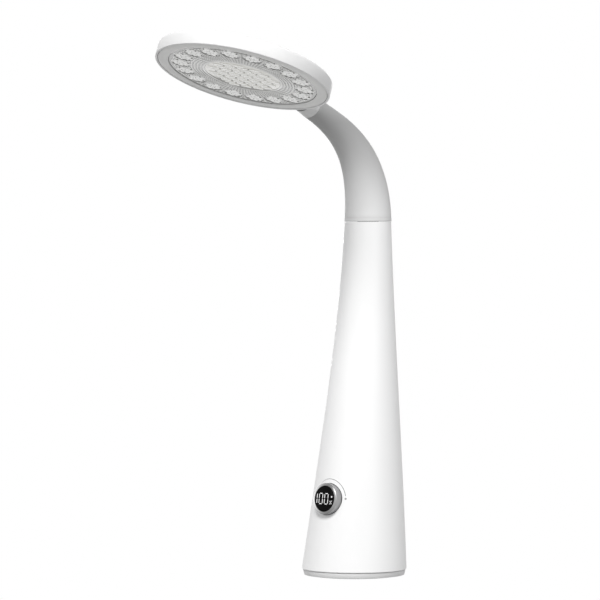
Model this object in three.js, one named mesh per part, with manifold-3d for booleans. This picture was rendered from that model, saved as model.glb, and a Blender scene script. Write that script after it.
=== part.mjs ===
// A rechargeable desk lamp: a tall leaning cone on a round foot, a tapered flexible neck and a flat
// disc head that shines down through a moulded lens. A knob with a display in it sits at the front.
// Millimetres, +Z up, front towards -Y. The origin is the middle of the foot pad, on the table.
import * as THREE from "three";
import { LoftGeometry } from "three/addons/geometries/LoftGeometry.js";
import { mergeVertices } from "three/addons/utils/BufferGeometryUtils.js";
import Module from "manifold-3d";

// Clearances and cuts
const seatGap = 0.3; // between pieces that rest on each other
const runningGap = 0.4; // round what turns or slides
const overrun = 2; // how far a cutting tool runs past what it cuts
const weldDistance = 0.001;

// Facets of the round pieces
const bodySides = 32;
const headSides = 32;
const knobSides = 24;
const coreSides = 16;
const neckSides = 18;
const fittingSides = 12;
const innerSides = 8;
const screwSides = 6;
const leadSides = 6;
const arcSteps = 5;

// Body shell
const bodyEdgeHeight = 4.9;
const bodyEdgeRadius = 41.8;
const bodyEdgeBevel = 0.6;
const bodyTopHeight = 282.4;
const bodyTopRadius = 18.6;
const bodyTopShift = 16.6; // the top lies this far behind the foot
const bodyShiftShares = [0.48, 0.895]; // handles of the centre line's curve
const bodyTaperShares = [0.358, 0.828]; // handles of the taper's curve
const bodyWall = 2.2;
const bodyTopWeb = 3;
const bodyRings = 6;

// Foot: pad, cover and the screws that close the body
const padRadius = 36.5;
const padThickness = 2;
const padBevel = 0.5;
const coverLow = 0.5;
const coverLowRadius = 40;
const coverRimRadius = 41;
const spigotHeight = 4.4;
const spigotWall = 2;
const coverBossRadius = 4.5;
const coverBossHeight = 4.4;
const closingCircle = 33.4;
const closingCount = 4;
const closingBossRadius = 4.1;
const closingBossTop = 24;
const closingScrew = { head: 3.1, headHeight: 1.5, shank: 1.4, length: 13 };

// Ballast
const ballastRadius = 35.5;
const ballastThickness = 8;
const ballastNotch = 5;

// Inner frame that carries the cells and the boards
const framePlace = 19.5; // front face of its upright, behind the foot's middle
const frameWidth = 35;
const frameWall = 2;
const frameHead = 5.2; // it rises this far past the cells
const frameFootFront = 8;
const frameFootBack = 34.5;
const frameFootWidth = 30;
const frameFootWall = 2.2;
const frameBossSpread = 22;
const frameBossPlace = 13.5;
const frameBossRadius = 3.6;
const frameBossHeight = 6;
const frameScrew = { head: 3.1, headHeight: 1.5, shank: 1.4, length: 15 };
const frameShelf = 1.8;
const frameWindow = 12;

// Cells
const cellRadius = 9.1;
const cellLength = 65;
const cellFloor = 99;
const cellSpacing = 18.8;
const cellButtonRadius = 3;
const cellButton = 0.8;
const strapHeight = 8;
const strapWall = 0.9;

// Boards
const boardThickness = 1.6;
const mainBoardWidth = 30;
const mainBoardLow = 30;
const mainBoardHigh = 88;
const standoff = 3.2;
const standoffRadius = 2.6;
const standoffInset = 4;
const smallScrew = { head: 2.1, headHeight: 1.2, shank: 0.9, length: 5 };
const connectorPlaceShare = 0.93; // up the main board
const connectorHalfShare = 0.05;
const coilRadius = 4.5;
// Chips on the main board as shares of its half width and its height: place, half sizes
const chipShares = [
  [-0.3, 0.5, 0.22, 0.06],
  [0.45, 0.52, 0.18, 0.05],
  [-0.35, 0.72, 0.3, 0.08],
  [0.4, 0.78, 0.16, 0.05],
];
const connectorShares = [0, connectorPlaceShare, 0.28, connectorHalfShare];
const chargeBoardWidth = 18;
const chargeBoardDepth = 15;
const chargeOverhang = 3; // its board reaches this far past the frame's foot
const chargeRibHeight = 2.3;
const chargeRibSpread = 12;
const chargeRibWidth = 2;

// Charging socket
const socketWidth = 9;
const socketHeight = 3.2;
const socketLength = 7.4;
const socketWall = 0.3;
const socketTongue = 0.7;
const socketTongueWidth = 6.6;
const socketInset = 0.5; // its mouth lies this far inside the body
const socketSlotGap = 0.3;

// Knob, with its face as the plane that its depths are measured from
const knobMeet = 62.2; // height at which its axis meets the body
const knobTilt = 8; // degrees that its axis points up
const knobProud = 4.6;
const knobRadius = 12.5;
const knobBevel = 0.8;
const knobLip = 2.1;
const knobDepth = 7.4;
const knobWeb = 1.6;
const hubRadius = 6.2;
const hubWall = 1.3;
const hubEnd = 15.2;
const knobTravel = 0.6;
const lensInset = 0.25;
const lensThickness = 1.15;
const coreRimWall = 0.7;
const displayThickness = 2;
const coreFloor = 1.2;
const coreBore = 1.5;
const stemEnd = 17;
const noseRadius = 1.2;
const noseLength = 1.4;
const clipThickness = 0.8;
const clipRadius = 6.4;
const clipSpan = 300; // degrees round the stem
const waveHeight = 1;
const waveThickness = 0.3;
const waveWidth = 2.2;
const waveCount = 3;
const waveSteps = 18;

// What carries the knob behind the body's wall
const pocketWall = 1.8;
const pocketDepth = 9;
const encoderSize = 16;
const encoderThickness = 3.5;
const switchSize = 6;
const switchPlace = 18; // its top, behind the knob's face
const switchThickness = 2.9;
const controlBoardWidth = 30;
const controlBoardHeight = 17;
const controlPostSpread = 24;
const controlPostRadius = 2.4;

// Neck: a centre line from the body's top to the head, and its taper
const neckStartLean = -1.61; // degrees from upright, forward is positive
const neckStartPull = 63.8;
const neckReach = 74.4;
const neckRise = 92.8;
const neckEndLean = 63.7;
const neckEndPull = 33.8;
const neckEndRadius = 9.6;
const neckProud = 0.3; // the sleeve stands this far out of the body
const neckTaperShares = [0.289, 1.2];
const seamLength = 12; // the sections turn square to the line over this length
const sleeveShort = 13.2; // the sleeve ends this far before the centre line's end
const sleeveRings = 9;
const sleeveBevel = 0.5;

// Bending hose inside the neck
const hoseRadius = 6;
const hoseGroove = 0.6;
const sleeveGap = 0.5;
const hoseBore = 2.4;
const windingPitch = 4.2;
const hoseEndRadius = 3.2;
const hingeFirst = 28;
const hingePitch = 19.5;
const hingeCount = 5;
const hingeRange = 22; // degrees each way
const hingeSlack = 0.2;
const hoseTailLength = 10;
const leadRadius = 1.2;
const leadShort = 5.8; // the lead ends this far before the centre line's end
const leadSteps = 28;

// Anchor that holds the hose in the body's top
const anchorFlangeRadius = 15;
const anchorFlange = 3;
const anchorConeRadius = 12.6;
const anchorTopRadius = 8.2;
const anchorTop = 20;
const anchorTailRadius = 8.6;
const anchorTail = 13.5;
const nutRadius = 12.4;
const nutHeight = 6;

// Tip that holds the head
const tipShoulderRadius = 6.5;
const tipShoulderLength = 4.6;
const tongueWidth = 14;
const tongueLow = 4.4;
const tongueThickness = 2;
const tongueReach = 11.3; // it reaches this far inwards from the head's wall
const tongueScrewReach = 7.3;
const tongueScrewSpread = 9.2;
const tongueScrew = { head: 2.2, headHeight: 1.2, shank: 1, length: 4.9 };

// Head, with its lower face as the plane that its heights are measured from
const headRadius = 69;
const headThickness = 11.7;
const headTilt = 19.85; // degrees that its front is raised
const headRound = 3;
const headSideWall = 1.7;
const headTopWall = 1.8;
const headSink = 8.3; // the lower face lies this far under the neck's end
const headSetback = 6.3; // the neck's end lies this far behind the head's wall
const notchWidth = 15.8;
const notchLow = 3.9;
const notchHigh = 9;

// Collar between the neck's sleeve and the head
const collarWall = 1.4;
const collarHalfWidth = 9.9;
const collarFoot = -0.3; // its lowest height where it meets the head
const collarCrown = 10.2; // its highest height there
const collarPull = 7;
const collarSides = 16;
const collarRings = 3;

// Lens disc and the ring that holds it
const bezelGap = 0.4; // round it, inside the head's wall
const bezelWidth = 8.2;
const lensGap = 0.4; // between the lens disc's face and the bezel
const lensFlangeWidth = 3.7;
const lensFlange = 0.6;
const lensTop = 2.5;
const lensFace = 0.9; // height of its ground face, its relief reaches lower
const lensRelief = 0.5;
const discInset = 27.7; // from the lens disc's edge to its middle field
const ridgePitch = 3.2;
const innerRidgeCount = 3;
const innerRidgeGap = 2.4; // from the middle field to the first ridge
const outerRidgeCount = 1;
const outerRidgeInset = 4.1; // from the lens disc's edge
const clusterCount = 18;
const clusterInset = 10.7; // from the lens disc's edge to the middle of its bosses
const lobeReach = 5.2;
const lobeWaist = 2.6;
const lobeBevel = 0.7;
const cellPitch = 9.8;
const cellPadRadius = 4.9;
const cellPadTopRadius = 3.8;
const bezelLow = 0.3;
const bezelThickness = 1.3;
const bezelWallTop = 7;
const bezelWall = 1.3;
const catchCount = 6;
const catchWidth = 8;
const catchDepth = 0.9;
const catchLow = 4.9;
const catchHeight = 1.5;

// Light board with its chips, and the reflector under it
const lightBoardLow = 6.2;
const lightBoardThickness = 1.6;
const lightBoardOverlap = 1.8; // it reaches this far past the bezel's inner edge
const lightBoardTrim = 2; // room between its straight back edge and the tongue
const chipSize = 3.2;
const chipHeight = 0.7;
const innerChipPitch = 18;
const reflectorLow = 5.55;
const reflectorThickness = 0.4;
const reflectorInset = 0.5;
const reflectorHole = 4.2;
const boardPostInset = 10.1; // from the circle of bosses
const boardPostCount = 3;
const boardPostRadius = 3;
const connectorWidth = 6;
const connectorDepth = 5;
const connectorHeight = 1.4;
const connectorInset = 2; // from the light board's straight edge
const headLeadRadius = 0.7;
const headLeadSteps = 8;

// Colours and finishes
const whiteShell = { color: 0xf4f4f2, roughness: 0.42, metalness: 0 };
const paleFoot = { color: 0xcfcfcd, roughness: 0.55, metalness: 0 };
const greySilicone = { color: 0xa9a9a9, roughness: 0.62, metalness: 0 };
const clearLens = { color: 0xdededa, roughness: 0.25, metalness: 0 };
const turnedMetal = { color: 0xa9a9ab, roughness: 0.32, metalness: 0.9 };
const steel = { color: 0x8f9194, roughness: 0.4, metalness: 0.9 };
const brightScrew = { color: 0xb9babc, roughness: 0.35, metalness: 0.9 };
const blackGloss = { color: 0x050506, roughness: 0.08, metalness: 0 };
const darkPlastic = { color: 0x2a2b2d, roughness: 0.5, metalness: 0 };
const boardGreen = { color: 0x1f5a3a, roughness: 0.5, metalness: 0 };
const boardWhite = { color: 0xf1f1ec, roughness: 0.5, metalness: 0 };
const cellWrap = { color: 0x3f78b5, roughness: 0.4, metalness: 0 };
const whiteLead = { color: 0xe4e4e2, roughness: 0.5, metalness: 0 };

const wasm = await Module();
wasm.setup();

const lamp = new THREE.Group();
lamp.name = "desk_lamp";

// Joins and cuts of closed meshes

function solidOf(geometry) {
  const bare = new THREE.BufferGeometry();
  bare.setAttribute("position", geometry.getAttribute("position"));
  bare.setIndex(geometry.index);
  const welded = mergeVertices(bare, weldDistance);
  return new wasm.Manifold(
    new wasm.Mesh({
      numProp: 3,
      vertProperties: new Float32Array(welded.attributes.position.array),
      triVerts: new Uint32Array(welded.index.array),
    }),
  );
}

function geometryOf(solid) {
  const mesh = solid.getMesh();
  const geometry = new THREE.BufferGeometry();
  geometry.setAttribute("position", new THREE.BufferAttribute(mesh.vertProperties, 3));
  geometry.setIndex(new THREE.BufferAttribute(mesh.triVerts, 1));
  const flat = geometry.toNonIndexed();
  flat.computeVertexNormals();
  return flat;
}

function joined(...geometries) {
  return geometryOf(geometries.map(solidOf).reduce((whole, next) => whole.add(next)));
}

function cut(geometry, ...tools) {
  return geometryOf(tools.map(solidOf).reduce((whole, tool) => whole.subtract(tool), solidOf(geometry)));
}

function common(geometry, tool) {
  return geometryOf(solidOf(geometry).intersect(solidOf(tool)));
}

// Basic forms, upright along Z

function place(name, geometry, finish, holder = lamp) {
  const mesh = new THREE.Mesh(geometry, new THREE.MeshStandardMaterial(finish));
  mesh.name = name;
  holder.add(mesh);
  return mesh;
}

function radians(degrees) {
  return THREE.MathUtils.degToRad(degrees);
}

function rod(radius, low, high, sides = innerSides, topRadius = radius) {
  return new THREE.CylinderGeometry(topRadius, radius, high - low, sides)
    .rotateX(Math.PI / 2)
    .translate(0, 0, (low + high) / 2);
}

// A six-sided hole for a screw.
function bore(radius, low, high) {
  return rod(radius, low, high, screwSides);
}

function block(low, high) {
  const size = high.map((value, axis) => value - low[axis]);
  const middle = high.map((value, axis) => (value + low[axis]) / 2);
  return new THREE.BoxGeometry(...size).translate(...middle);
}

// Revolves [radius, height] points; they run outwards, up and back, and may end on the axis.
function revolve(outline, sides) {
  const points = outline.map(([radius, height]) => new THREE.Vector2(radius, height));
  const onAxis = outline[0][0] === 0;
  if (!onAxis) points.push(points[0].clone());
  return new THREE.LatheGeometry(points, sides).rotateX(Math.PI / 2);
}

function ringPoints(count, start = 0) {
  return Array.from({ length: count }, (_, index) => start + (index * 2 * Math.PI) / count);
}

function atCircle(radius, angle) {
  return [radius * Math.cos(angle), radius * Math.sin(angle)];
}

// A screw driven upwards: its head's underside is at the given height.
function screw(size, x, y, headBase) {
  const neck = headBase + size.headHeight;
  const head = rod(size.head, headBase, neck, screwSides);
  const shank = rod(size.shank, neck - size.headHeight / 2, neck + size.length, screwSides);
  return joined(head, shank).translate(x, y, 0);
}

// Body form: round sections that shrink and move back with height

const bodyForm = new THREE.CubicBezierCurve(
  new THREE.Vector2(0, 0),
  new THREE.Vector2(bodyShiftShares[0], bodyTaperShares[0]),
  new THREE.Vector2(bodyShiftShares[1], bodyTaperShares[1]),
  new THREE.Vector2(1, 1),
);

function bodyAt(height) {
  const share = (height - bodyEdgeHeight) / (bodyTopHeight - bodyEdgeHeight);
  const form = bodyForm.getPoint(THREE.MathUtils.clamp(share, 0, 1));
  return {
    back: form.x * bodyTopShift,
    radius: THREE.MathUtils.lerp(bodyEdgeRadius, bodyTopRadius, form.y),
  };
}

function bodySection(height, inset) {
  const { back, radius } = bodyAt(height);
  return ringPoints(bodySides).map((angle) => {
    const [x, y] = atCircle(radius - inset, angle);
    return new THREE.Vector3(x, back + y, height);
  });
}

function bodyLoft(low, high, inset, rings, bevel = 0) {
  const sections = [];
  for (let ring = 0; ring <= rings; ring += 1) {
    const height = THREE.MathUtils.lerp(low + bevel, high, ring / rings);
    sections.push(bodySection(height, inset));
  }
  if (bevel > 0) sections.unshift(bodySection(low, inset + bevel));
  return new LoftGeometry(sections, { capStart: true, capEnd: true });
}

// Knob frame: its face is the plane z = 0 and its axis points out of the body

const knobFrame = new THREE.Group();
const knobAxis = new THREE.Vector3(0, -Math.cos(radians(knobTilt)), Math.sin(radians(knobTilt)));
const bodyAtKnob = bodyAt(knobMeet);
knobFrame.position
  .set(0, bodyAtKnob.back - bodyAtKnob.radius, knobMeet)
  .addScaledVector(knobAxis, knobProud);
knobFrame.rotation.x = radians(90 - knobTilt);
knobFrame.updateMatrixWorld(true);
lamp.add(knobFrame);

function fromKnob(geometry) {
  return geometry.applyMatrix4(knobFrame.matrixWorld);
}

const pocketRadius = knobRadius + runningGap;
const pocketBack = pocketDepth + pocketWall;
const boardFace = switchPlace + switchThickness + seatGap;
const hubHole = hubRadius + runningGap;
const controlPosts = [-controlPostSpread / 2, controlPostSpread / 2];
const closingAngles = ringPoints(closingCount, Math.PI / closingCount);
const coverTop = bodyEdgeHeight - seatGap;
const coverBossTop = coverTop + coverBossHeight;
const screwHole = closingScrew.shank + seatGap;

// Charging socket's place, from the pieces it stands on
const ballastLow = coverTop + seatGap;
const ballastTop = ballastLow + ballastThickness;
const frameFootLow = ballastTop + seatGap;
const frameFootTop = frameFootLow + frameFootWall;
const chargeBoardLow = frameFootTop + chargeRibHeight + seatGap;
const chargeBoardTop = chargeBoardLow + boardThickness;
const socketLow = chargeBoardTop + seatGap;
const socketMiddle = socketLow + socketHeight / 2;
const bodyAtSocket = bodyAt(socketMiddle);
const socketMouth = bodyAtSocket.back + bodyAtSocket.radius - socketInset;

function slotShape(width, height) {
  const round = height / 2;
  const side = width / 2 - round;
  const shape = new THREE.Shape();
  shape.absarc(side, 0, round, -Math.PI / 2, Math.PI / 2, false);
  shape.absarc(-side, 0, round, Math.PI / 2, (Math.PI * 3) / 2, false);
  return shape;
}

// An upright slot form that runs along Y from front to back.
function slotBar(width, height, front, back) {
  const settings = { depth: back - front, bevelEnabled: false, curveSegments: arcSteps };
  return new THREE.ExtrudeGeometry(slotShape(width, height), settings)
    .rotateX(Math.PI / 2)
    .translate(0, back, 0);
}

function addBodyShell() {
  const outer = bodyLoft(bodyEdgeHeight, bodyTopHeight - seatGap / 2, 0, bodyRings, bodyEdgeBevel);
  const inner = bodyLoft(bodyEdgeHeight - overrun, bodyTopHeight - bodyTopWeb, bodyWall, bodyRings - 2);
  const cup = fromKnob(rod(pocketRadius + pocketWall, -pocketBack, overrun + knobProud, knobSides));
  const posts = controlPosts.map((x) =>
    fromKnob(rod(controlPostRadius, -(boardFace - seatGap), -pocketDepth).translate(x, 0, 0)),
  );
  const bosses = closingAngles.map((angle) => {
    const [x, y] = atCircle(closingCircle, angle);
    const [ribX, ribY] = atCircle(bodyEdgeRadius - bodyWall / 2, angle);
    const low = coverBossTop + seatGap;
    const ribLength = bodyEdgeRadius - closingCircle;
    const rib = new THREE.BoxGeometry(ribLength, closingBossRadius, closingBossTop - low)
      .rotateZ(angle)
      .translate((x + ribX) / 2, (y + ribY) / 2, (closingBossTop + low) / 2);
    return joined(rod(closingBossRadius, low, closingBossTop).translate(x, y, 0), rib);
  });
  const walls = joined(cut(outer, inner), common(joined(cup, ...bosses), outer), ...posts);
  const pocket = fromKnob(rod(pocketRadius, -pocketDepth, overrun + knobProud, knobSides));
  const hubWay = fromKnob(rod(hubHole, -(pocketBack + overrun), 0, knobSides));
  const postHoles = controlPosts.map((x) =>
    fromKnob(bore(smallScrew.shank + seatGap, -boardFace, -pocketBack).translate(x, 0, 0)),
  );
  const bossHoles = closingAngles.map((angle) => {
    const hole = bore(closingScrew.shank + seatGap / 2, bodyEdgeHeight, closingBossTop - bodyWall);
    return hole.translate(...atCircle(closingCircle, angle), 0);
  });
  const neckWayLow = bodyTopHeight - bodyTopWeb - overrun;
  const neckWay = rod(anchorTailRadius + seatGap, neckWayLow, bodyTopHeight + overrun, fittingSides);
  neckWay.translate(0, bodyTopShift, 0);
  const portWidth = socketWidth + 2 * socketSlotGap;
  const portHeight = socketHeight + 2 * socketSlotGap;
  const port = slotBar(portWidth, portHeight, socketMouth - socketLength, socketMouth + overrun);
  port.translate(0, 0, socketMiddle);
  const shell = cut(walls, pocket, hubWay, ...postHoles, ...bossHoles, neckWay, port);
  place("body_shell", shell, whiteShell);
}

// Foot cover, pad, ballast and the closing screws

const padSeat = padThickness + seatGap;
const frameBosses = [-frameBossSpread / 2, frameBossSpread / 2];

function addFoot() {
  const spigotTop = coverTop + spigotHeight;
  const bodyThere = bodyAt(spigotTop);
  const spigotRadius = bodyThere.radius - bodyThere.back - bodyWall - 2 * seatGap;
  const dish = revolve(
    [
      [0, padSeat],
      [padRadius + seatGap, padSeat],
      [padRadius + seatGap, coverLow],
      [coverLowRadius, coverLow],
      [coverRimRadius, coverTop],
      [spigotRadius, coverTop],
      [spigotRadius, spigotTop],
      [spigotRadius - spigotWall, spigotTop],
      [spigotRadius - spigotWall, coverTop],
      [0, coverTop],
    ],
    bodySides,
  );
  const seats = closingAngles.map((angle) => atCircle(closingCircle, angle));
  frameBosses.forEach((x) => seats.push([x, frameBossPlace]));
  const bosses = seats.map(([x, y]) => rod(coverBossRadius, padSeat, coverBossTop).translate(x, y, 0));
  const sinks = seats.map(([x, y]) => {
    const sink = closingScrew.head + seatGap;
    return bore(sink, padSeat - overrun, padSeat + closingScrew.headHeight + seatGap).translate(x, y, 0);
  });
  const holes = seats.map(([x, y]) => bore(screwHole, padSeat, coverBossTop + overrun).translate(x, y, 0));
  place("base_cover", cut(joined(dish, ...bosses), ...sinks, ...holes), paleFoot);

  const pad = revolve(
    [
      [0, 0],
      [padRadius - padBevel, 0],
      [padRadius, padBevel],
      [padRadius, padThickness],
      [0, padThickness],
    ],
    bodySides,
  );
  place("foot_pad", pad, darkPlastic);

  closingAngles.forEach((angle, index) => {
    const [x, y] = atCircle(closingCircle, angle);
    place(`closing_screw_${index + 1}`, screw(closingScrew, x, y, padSeat + seatGap / 2), brightScrew);
  });
}

function addBallast() {
  const disc = rod(ballastRadius, ballastLow, ballastTop, bodySides);
  const notches = closingAngles.map((angle) => {
    const notch = rod(ballastNotch, ballastLow - overrun, ballastTop + overrun);
    return notch.translate(...atCircle(closingCircle, angle), 0);
  });
  const bossSinks = frameBosses.map((x) =>
    rod(ballastNotch, ballastLow - overrun, coverBossTop + seatGap).translate(x, frameBossPlace, 0),
  );
  const holes = frameBosses.map((x) =>
    bore(frameScrew.shank + seatGap, ballastLow, ballastTop + overrun).translate(x, frameBossPlace, 0),
  );
  place("ballast_plate", cut(disc, ...notches, ...bossSinks, ...holes), steel);
}

// Inner frame, cells and boards

const frameBack = framePlace + frameWall;
const cellTop = cellFloor + cellLength + cellButton;
const frameTop = cellTop + frameHead;
const strapPlace = cellFloor + (cellLength - strapHeight) / 2;
const cellMiddle = framePlace - seatGap - cellRadius;
const mainBoardFace = framePlace - standoff - seatGap - boardThickness;
const standoffHeights = [mainBoardLow + standoffInset, mainBoardHigh - standoffInset];
const standoffSide = mainBoardWidth / 2 - standoffInset;
const boardScrewPlaces = [
  [-standoffSide, standoffHeights[0]],
  [standoffSide, standoffHeights[1]],
];

function acrossRod(radius, x, z, front, back, sides = innerSides) {
  return rod(radius, -back, -front, sides).rotateX(Math.PI / 2).translate(x, 0, z);
}

function addFrame() {
  const half = frameWidth / 2;
  const upright = block([-half, framePlace, frameFootLow], [half, frameBack, frameTop]);
  const footHalf = frameFootWidth / 2;
  const foot = block([-footHalf, frameFootFront, frameFootLow], [footHalf, frameFootBack, frameFootTop]);
  const shelfFront = cellMiddle - cellRadius;
  const shelves = [cellFloor - seatGap - frameShelf, cellTop + seatGap].map((low) =>
    block([-half, shelfFront, low], [half, framePlace + frameWall / 2, low + frameShelf]),
  );
  const bosses = frameBosses.map((x) =>
    rod(frameBossRadius, frameFootLow, frameFootTop + frameBossHeight).translate(x, frameBossPlace, 0),
  );
  const ribs = [-chargeRibSpread / 2, chargeRibSpread / 2].map((x) => {
    const ribHalf = chargeRibWidth / 2;
    const ribFront = frameFootBack + chargeOverhang - chargeBoardDepth;
    const ribTop = chargeBoardLow - seatGap;
    return block([x - ribHalf, ribFront, frameFootLow], [x + ribHalf, frameFootBack, ribTop]);
  });
  const stands = standoffHeights.flatMap((z) =>
    [-standoffSide, standoffSide].map((x) =>
      acrossRod(standoffRadius, x, z, framePlace - standoff, framePlace + frameWall / 2),
    ),
  );
  const windowHalf = frameWindow / 2;
  const windowMiddles = [
    (mainBoardLow + mainBoardHigh) / 2,
    mainBoardHigh + standoffInset,
    cellFloor + cellLength / 4,
    cellFloor + (cellLength * 3) / 4,
  ];
  const windows = windowMiddles.map((z, index) => {
    const high = index === 1 ? standoffInset : windowHalf;
    const front = framePlace - overrun;
    return block([-windowHalf, front, z - high], [windowHalf, frameBack + overrun, z + high]);
  });
  const screwHoles = frameBosses.map((x) => {
    const holeTop = frameFootTop + frameBossHeight + overrun;
    const hole = bore(frameScrew.shank + seatGap / 2, frameFootLow - overrun, holeTop);
    return hole.translate(x, frameBossPlace, 0);
  });
  const standHoles = boardScrewPlaces.map(([x, z]) =>
    acrossRod(smallScrew.shank + seatGap, x, z, mainBoardFace, frameBack + overrun, screwSides),
  );
  const whole = joined(upright, foot, ...shelves, ...bosses, ...ribs, ...stands);
  place("inner_frame", cut(whole, ...windows, ...screwHoles, ...standHoles), darkPlastic);
  frameBosses.forEach((x, index) => {
    const geometry = screw(frameScrew, x, frameBossPlace, padSeat + seatGap / 2);
    place(`frame_screw_${index + 1}`, geometry, brightScrew);
  });
}

function addCells() {
  [-cellSpacing / 2, cellSpacing / 2].forEach((x, index) => {
    const can = rod(cellRadius, cellFloor, cellFloor + cellLength, fittingSides);
    const button = rod(cellButtonRadius, cellFloor + cellLength - cellButton, cellTop);
    place(`battery_cell_${index + 1}`, joined(can, button).translate(x, cellMiddle, 0), cellWrap);
  });
  const inner = seatGap;
  const outer = seatGap + strapWall;
  const band = (grow) => {
    const side = cellSpacing / 2 + cellRadius + grow;
    const front = cellMiddle - cellRadius - grow;
    const back = frameBack + grow;
    const corner = cellRadius + grow;
    const shape = new THREE.Shape();
    shape.absarc(side - corner, front + corner, corner, -Math.PI / 2, 0, false);
    shape.lineTo(side, back);
    shape.lineTo(-side, back);
    shape.absarc(-side + corner, front + corner, corner, Math.PI, (Math.PI * 3) / 2, false);
    return shape;
  };
  const shape = band(outer);
  shape.holes.push(band(inner));
  const settings = { depth: strapHeight, bevelEnabled: false, curveSegments: arcSteps };
  const strap = new THREE.ExtrudeGeometry(shape, settings);
  place("battery_strap", strap.translate(0, 0, strapPlace), darkPlastic);
}

function addMainBoard() {
  const half = mainBoardWidth / 2;
  const face = mainBoardFace;
  const board = block([-half, face, mainBoardLow], [half, face + boardThickness, mainBoardHigh]);
  const span = mainBoardHigh - mainBoardLow;
  const raised = ([xShare, zShare, widthShare, heightShare], tall) => {
    const x = xShare * half;
    const z = mainBoardLow + zShare * span;
    const low = [x - widthShare * half, face - tall, z - heightShare * span];
    const high = [x + widthShare * half, face + boardThickness / 2, z + heightShare * span];
    return block(low, high);
  };
  const coilHeight = mainBoardLow + span / 4;
  const coil = acrossRod(coilRadius, 0, coilHeight, face - standoff, face + boardThickness / 2);
  const chips = chipShares.map((shares) => raised(shares, boardThickness));
  const connector = raised(connectorShares, 2 * standoff);
  const holes = boardScrewPlaces.map(([x, z]) =>
    acrossRod(smallScrew.shank + seatGap, x, z, face - overrun, framePlace, screwSides),
  );
  place("main_board", cut(joined(board, coil, connector, ...chips), ...holes), boardGreen);
  boardScrewPlaces.forEach(([x, z], index) => {
    const geometry = screw(smallScrew, 0, 0, 0);
    const headRoom = face - seatGap - smallScrew.headHeight;
    geometry.rotateX(-Math.PI / 2).translate(x, headRoom, z);
    place(`board_screw_${index + 1}`, geometry, brightScrew);
  });
}

function addChargePort() {
  const boardBack = frameFootBack + chargeOverhang;
  const half = chargeBoardWidth / 2;
  const low = [-half, boardBack - chargeBoardDepth, chargeBoardLow];
  place("charge_board", block(low, [half, boardBack, chargeBoardTop]), boardGreen);
  const front = socketMouth - socketLength;
  const can = slotBar(socketWidth, socketHeight, front, socketMouth);
  const room = slotBar(
    socketWidth - 2 * socketWall,
    socketHeight - 2 * socketWall,
    front + socketWall * 3,
    socketMouth + overrun,
  );
  const tongueHalf = socketTongueWidth / 2;
  const tongue = block(
    [-tongueHalf, front + socketWall, -socketTongue / 2],
    [tongueHalf, socketMouth - socketTongue, socketTongue / 2],
  );
  place("usb_c_socket", joined(cut(can, room), tongue).translate(0, 0, socketMiddle), brightScrew);
}

// Knob: a ring that turns round a display, and both press in together

const knobBore = knobRadius - knobLip;
const webFront = knobDepth - knobWeb;
const hubBore = hubRadius - hubWall;
const stemRadius = hubBore - runningGap;
const coreRadius = knobBore - runningGap;
const lensBack = lensInset + lensThickness;
const coreFront = lensBack + seatGap;
const coreBack = webFront - runningGap;

function addKnob() {
  const ring = revolve(
    [
      [hubBore, -hubEnd],
      [hubRadius, -hubEnd],
      [hubRadius, -knobDepth],
      [knobRadius - knobBevel / 2, -knobDepth],
      [knobRadius, -knobDepth + knobBevel / 2],
      [knobRadius, -knobBevel],
      [knobRadius - knobBevel, 0],
      [knobBore, 0],
      [knobBore, -webFront],
      [hubBore, -webFront],
    ],
    knobSides,
  );
  place("knob_ring", ring, turnedMetal, knobFrame);

  const recess = coreBack - coreFloor;
  const grooveRadius = stemRadius - hubWall / 2;
  const grooveBack = hubEnd + clipThickness + 2 * seatGap;
  const core = revolve(
    [
      [coreBore, -stemEnd],
      [stemRadius, -stemEnd],
      [stemRadius, -grooveBack],
      [grooveRadius, -grooveBack],
      [grooveRadius, -hubEnd],
      [stemRadius, -hubEnd],
      [stemRadius, -coreBack],
      [coreRadius, -coreBack],
      [coreRadius, -coreFront],
      [coreRadius - coreRimWall, -coreFront],
      [coreRadius - coreRimWall, -recess],
      [coreBore, -recess],
    ],
    coreSides,
  );
  const nose = rod(noseRadius, -(stemEnd + noseLength), -stemEnd + noseLength);
  const plug = rod(coreBore + hubWall / 2, -stemEnd, -stemEnd + noseLength);
  place("knob_core", joined(core, plug, nose), darkPlastic, knobFrame);

  const lens = revolve(
    [
      [0, -lensBack],
      [coreRadius, -lensBack],
      [coreRadius, -lensInset - lensThickness / 4],
      [coreRadius - lensThickness / 4, -lensInset],
      [0, -lensInset],
    ],
    knobSides,
  );
  place("display_lens", lens, blackGloss, knobFrame);

  const moduleRadius = coreRadius - coreRimWall - seatGap;
  const moduleBack = Math.min(coreFront + displayThickness, recess - seatGap);
  const display = rod(moduleRadius, -moduleBack, -coreFront, coreSides);
  place("display_module", display, boardWhite, knobFrame);

  const clipInner = grooveRadius + seatGap / 2;
  const half = radians(clipSpan) / 2;
  const clip = new THREE.Shape();
  clip.absarc(0, 0, clipRadius, -half, half, false);
  clip.absarc(0, 0, clipInner, half, -half, true);
  const clipSettings = { depth: clipThickness, bevelEnabled: false, curveSegments: arcSteps };
  const clipBody = new THREE.ExtrudeGeometry(clip, clipSettings);
  place("retaining_clip", clipBody.translate(0, 0, -(hubEnd + seatGap + clipThickness)), steel, knobFrame);

  place("wave_spring", waveSpring(), steel, knobFrame);
}

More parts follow.
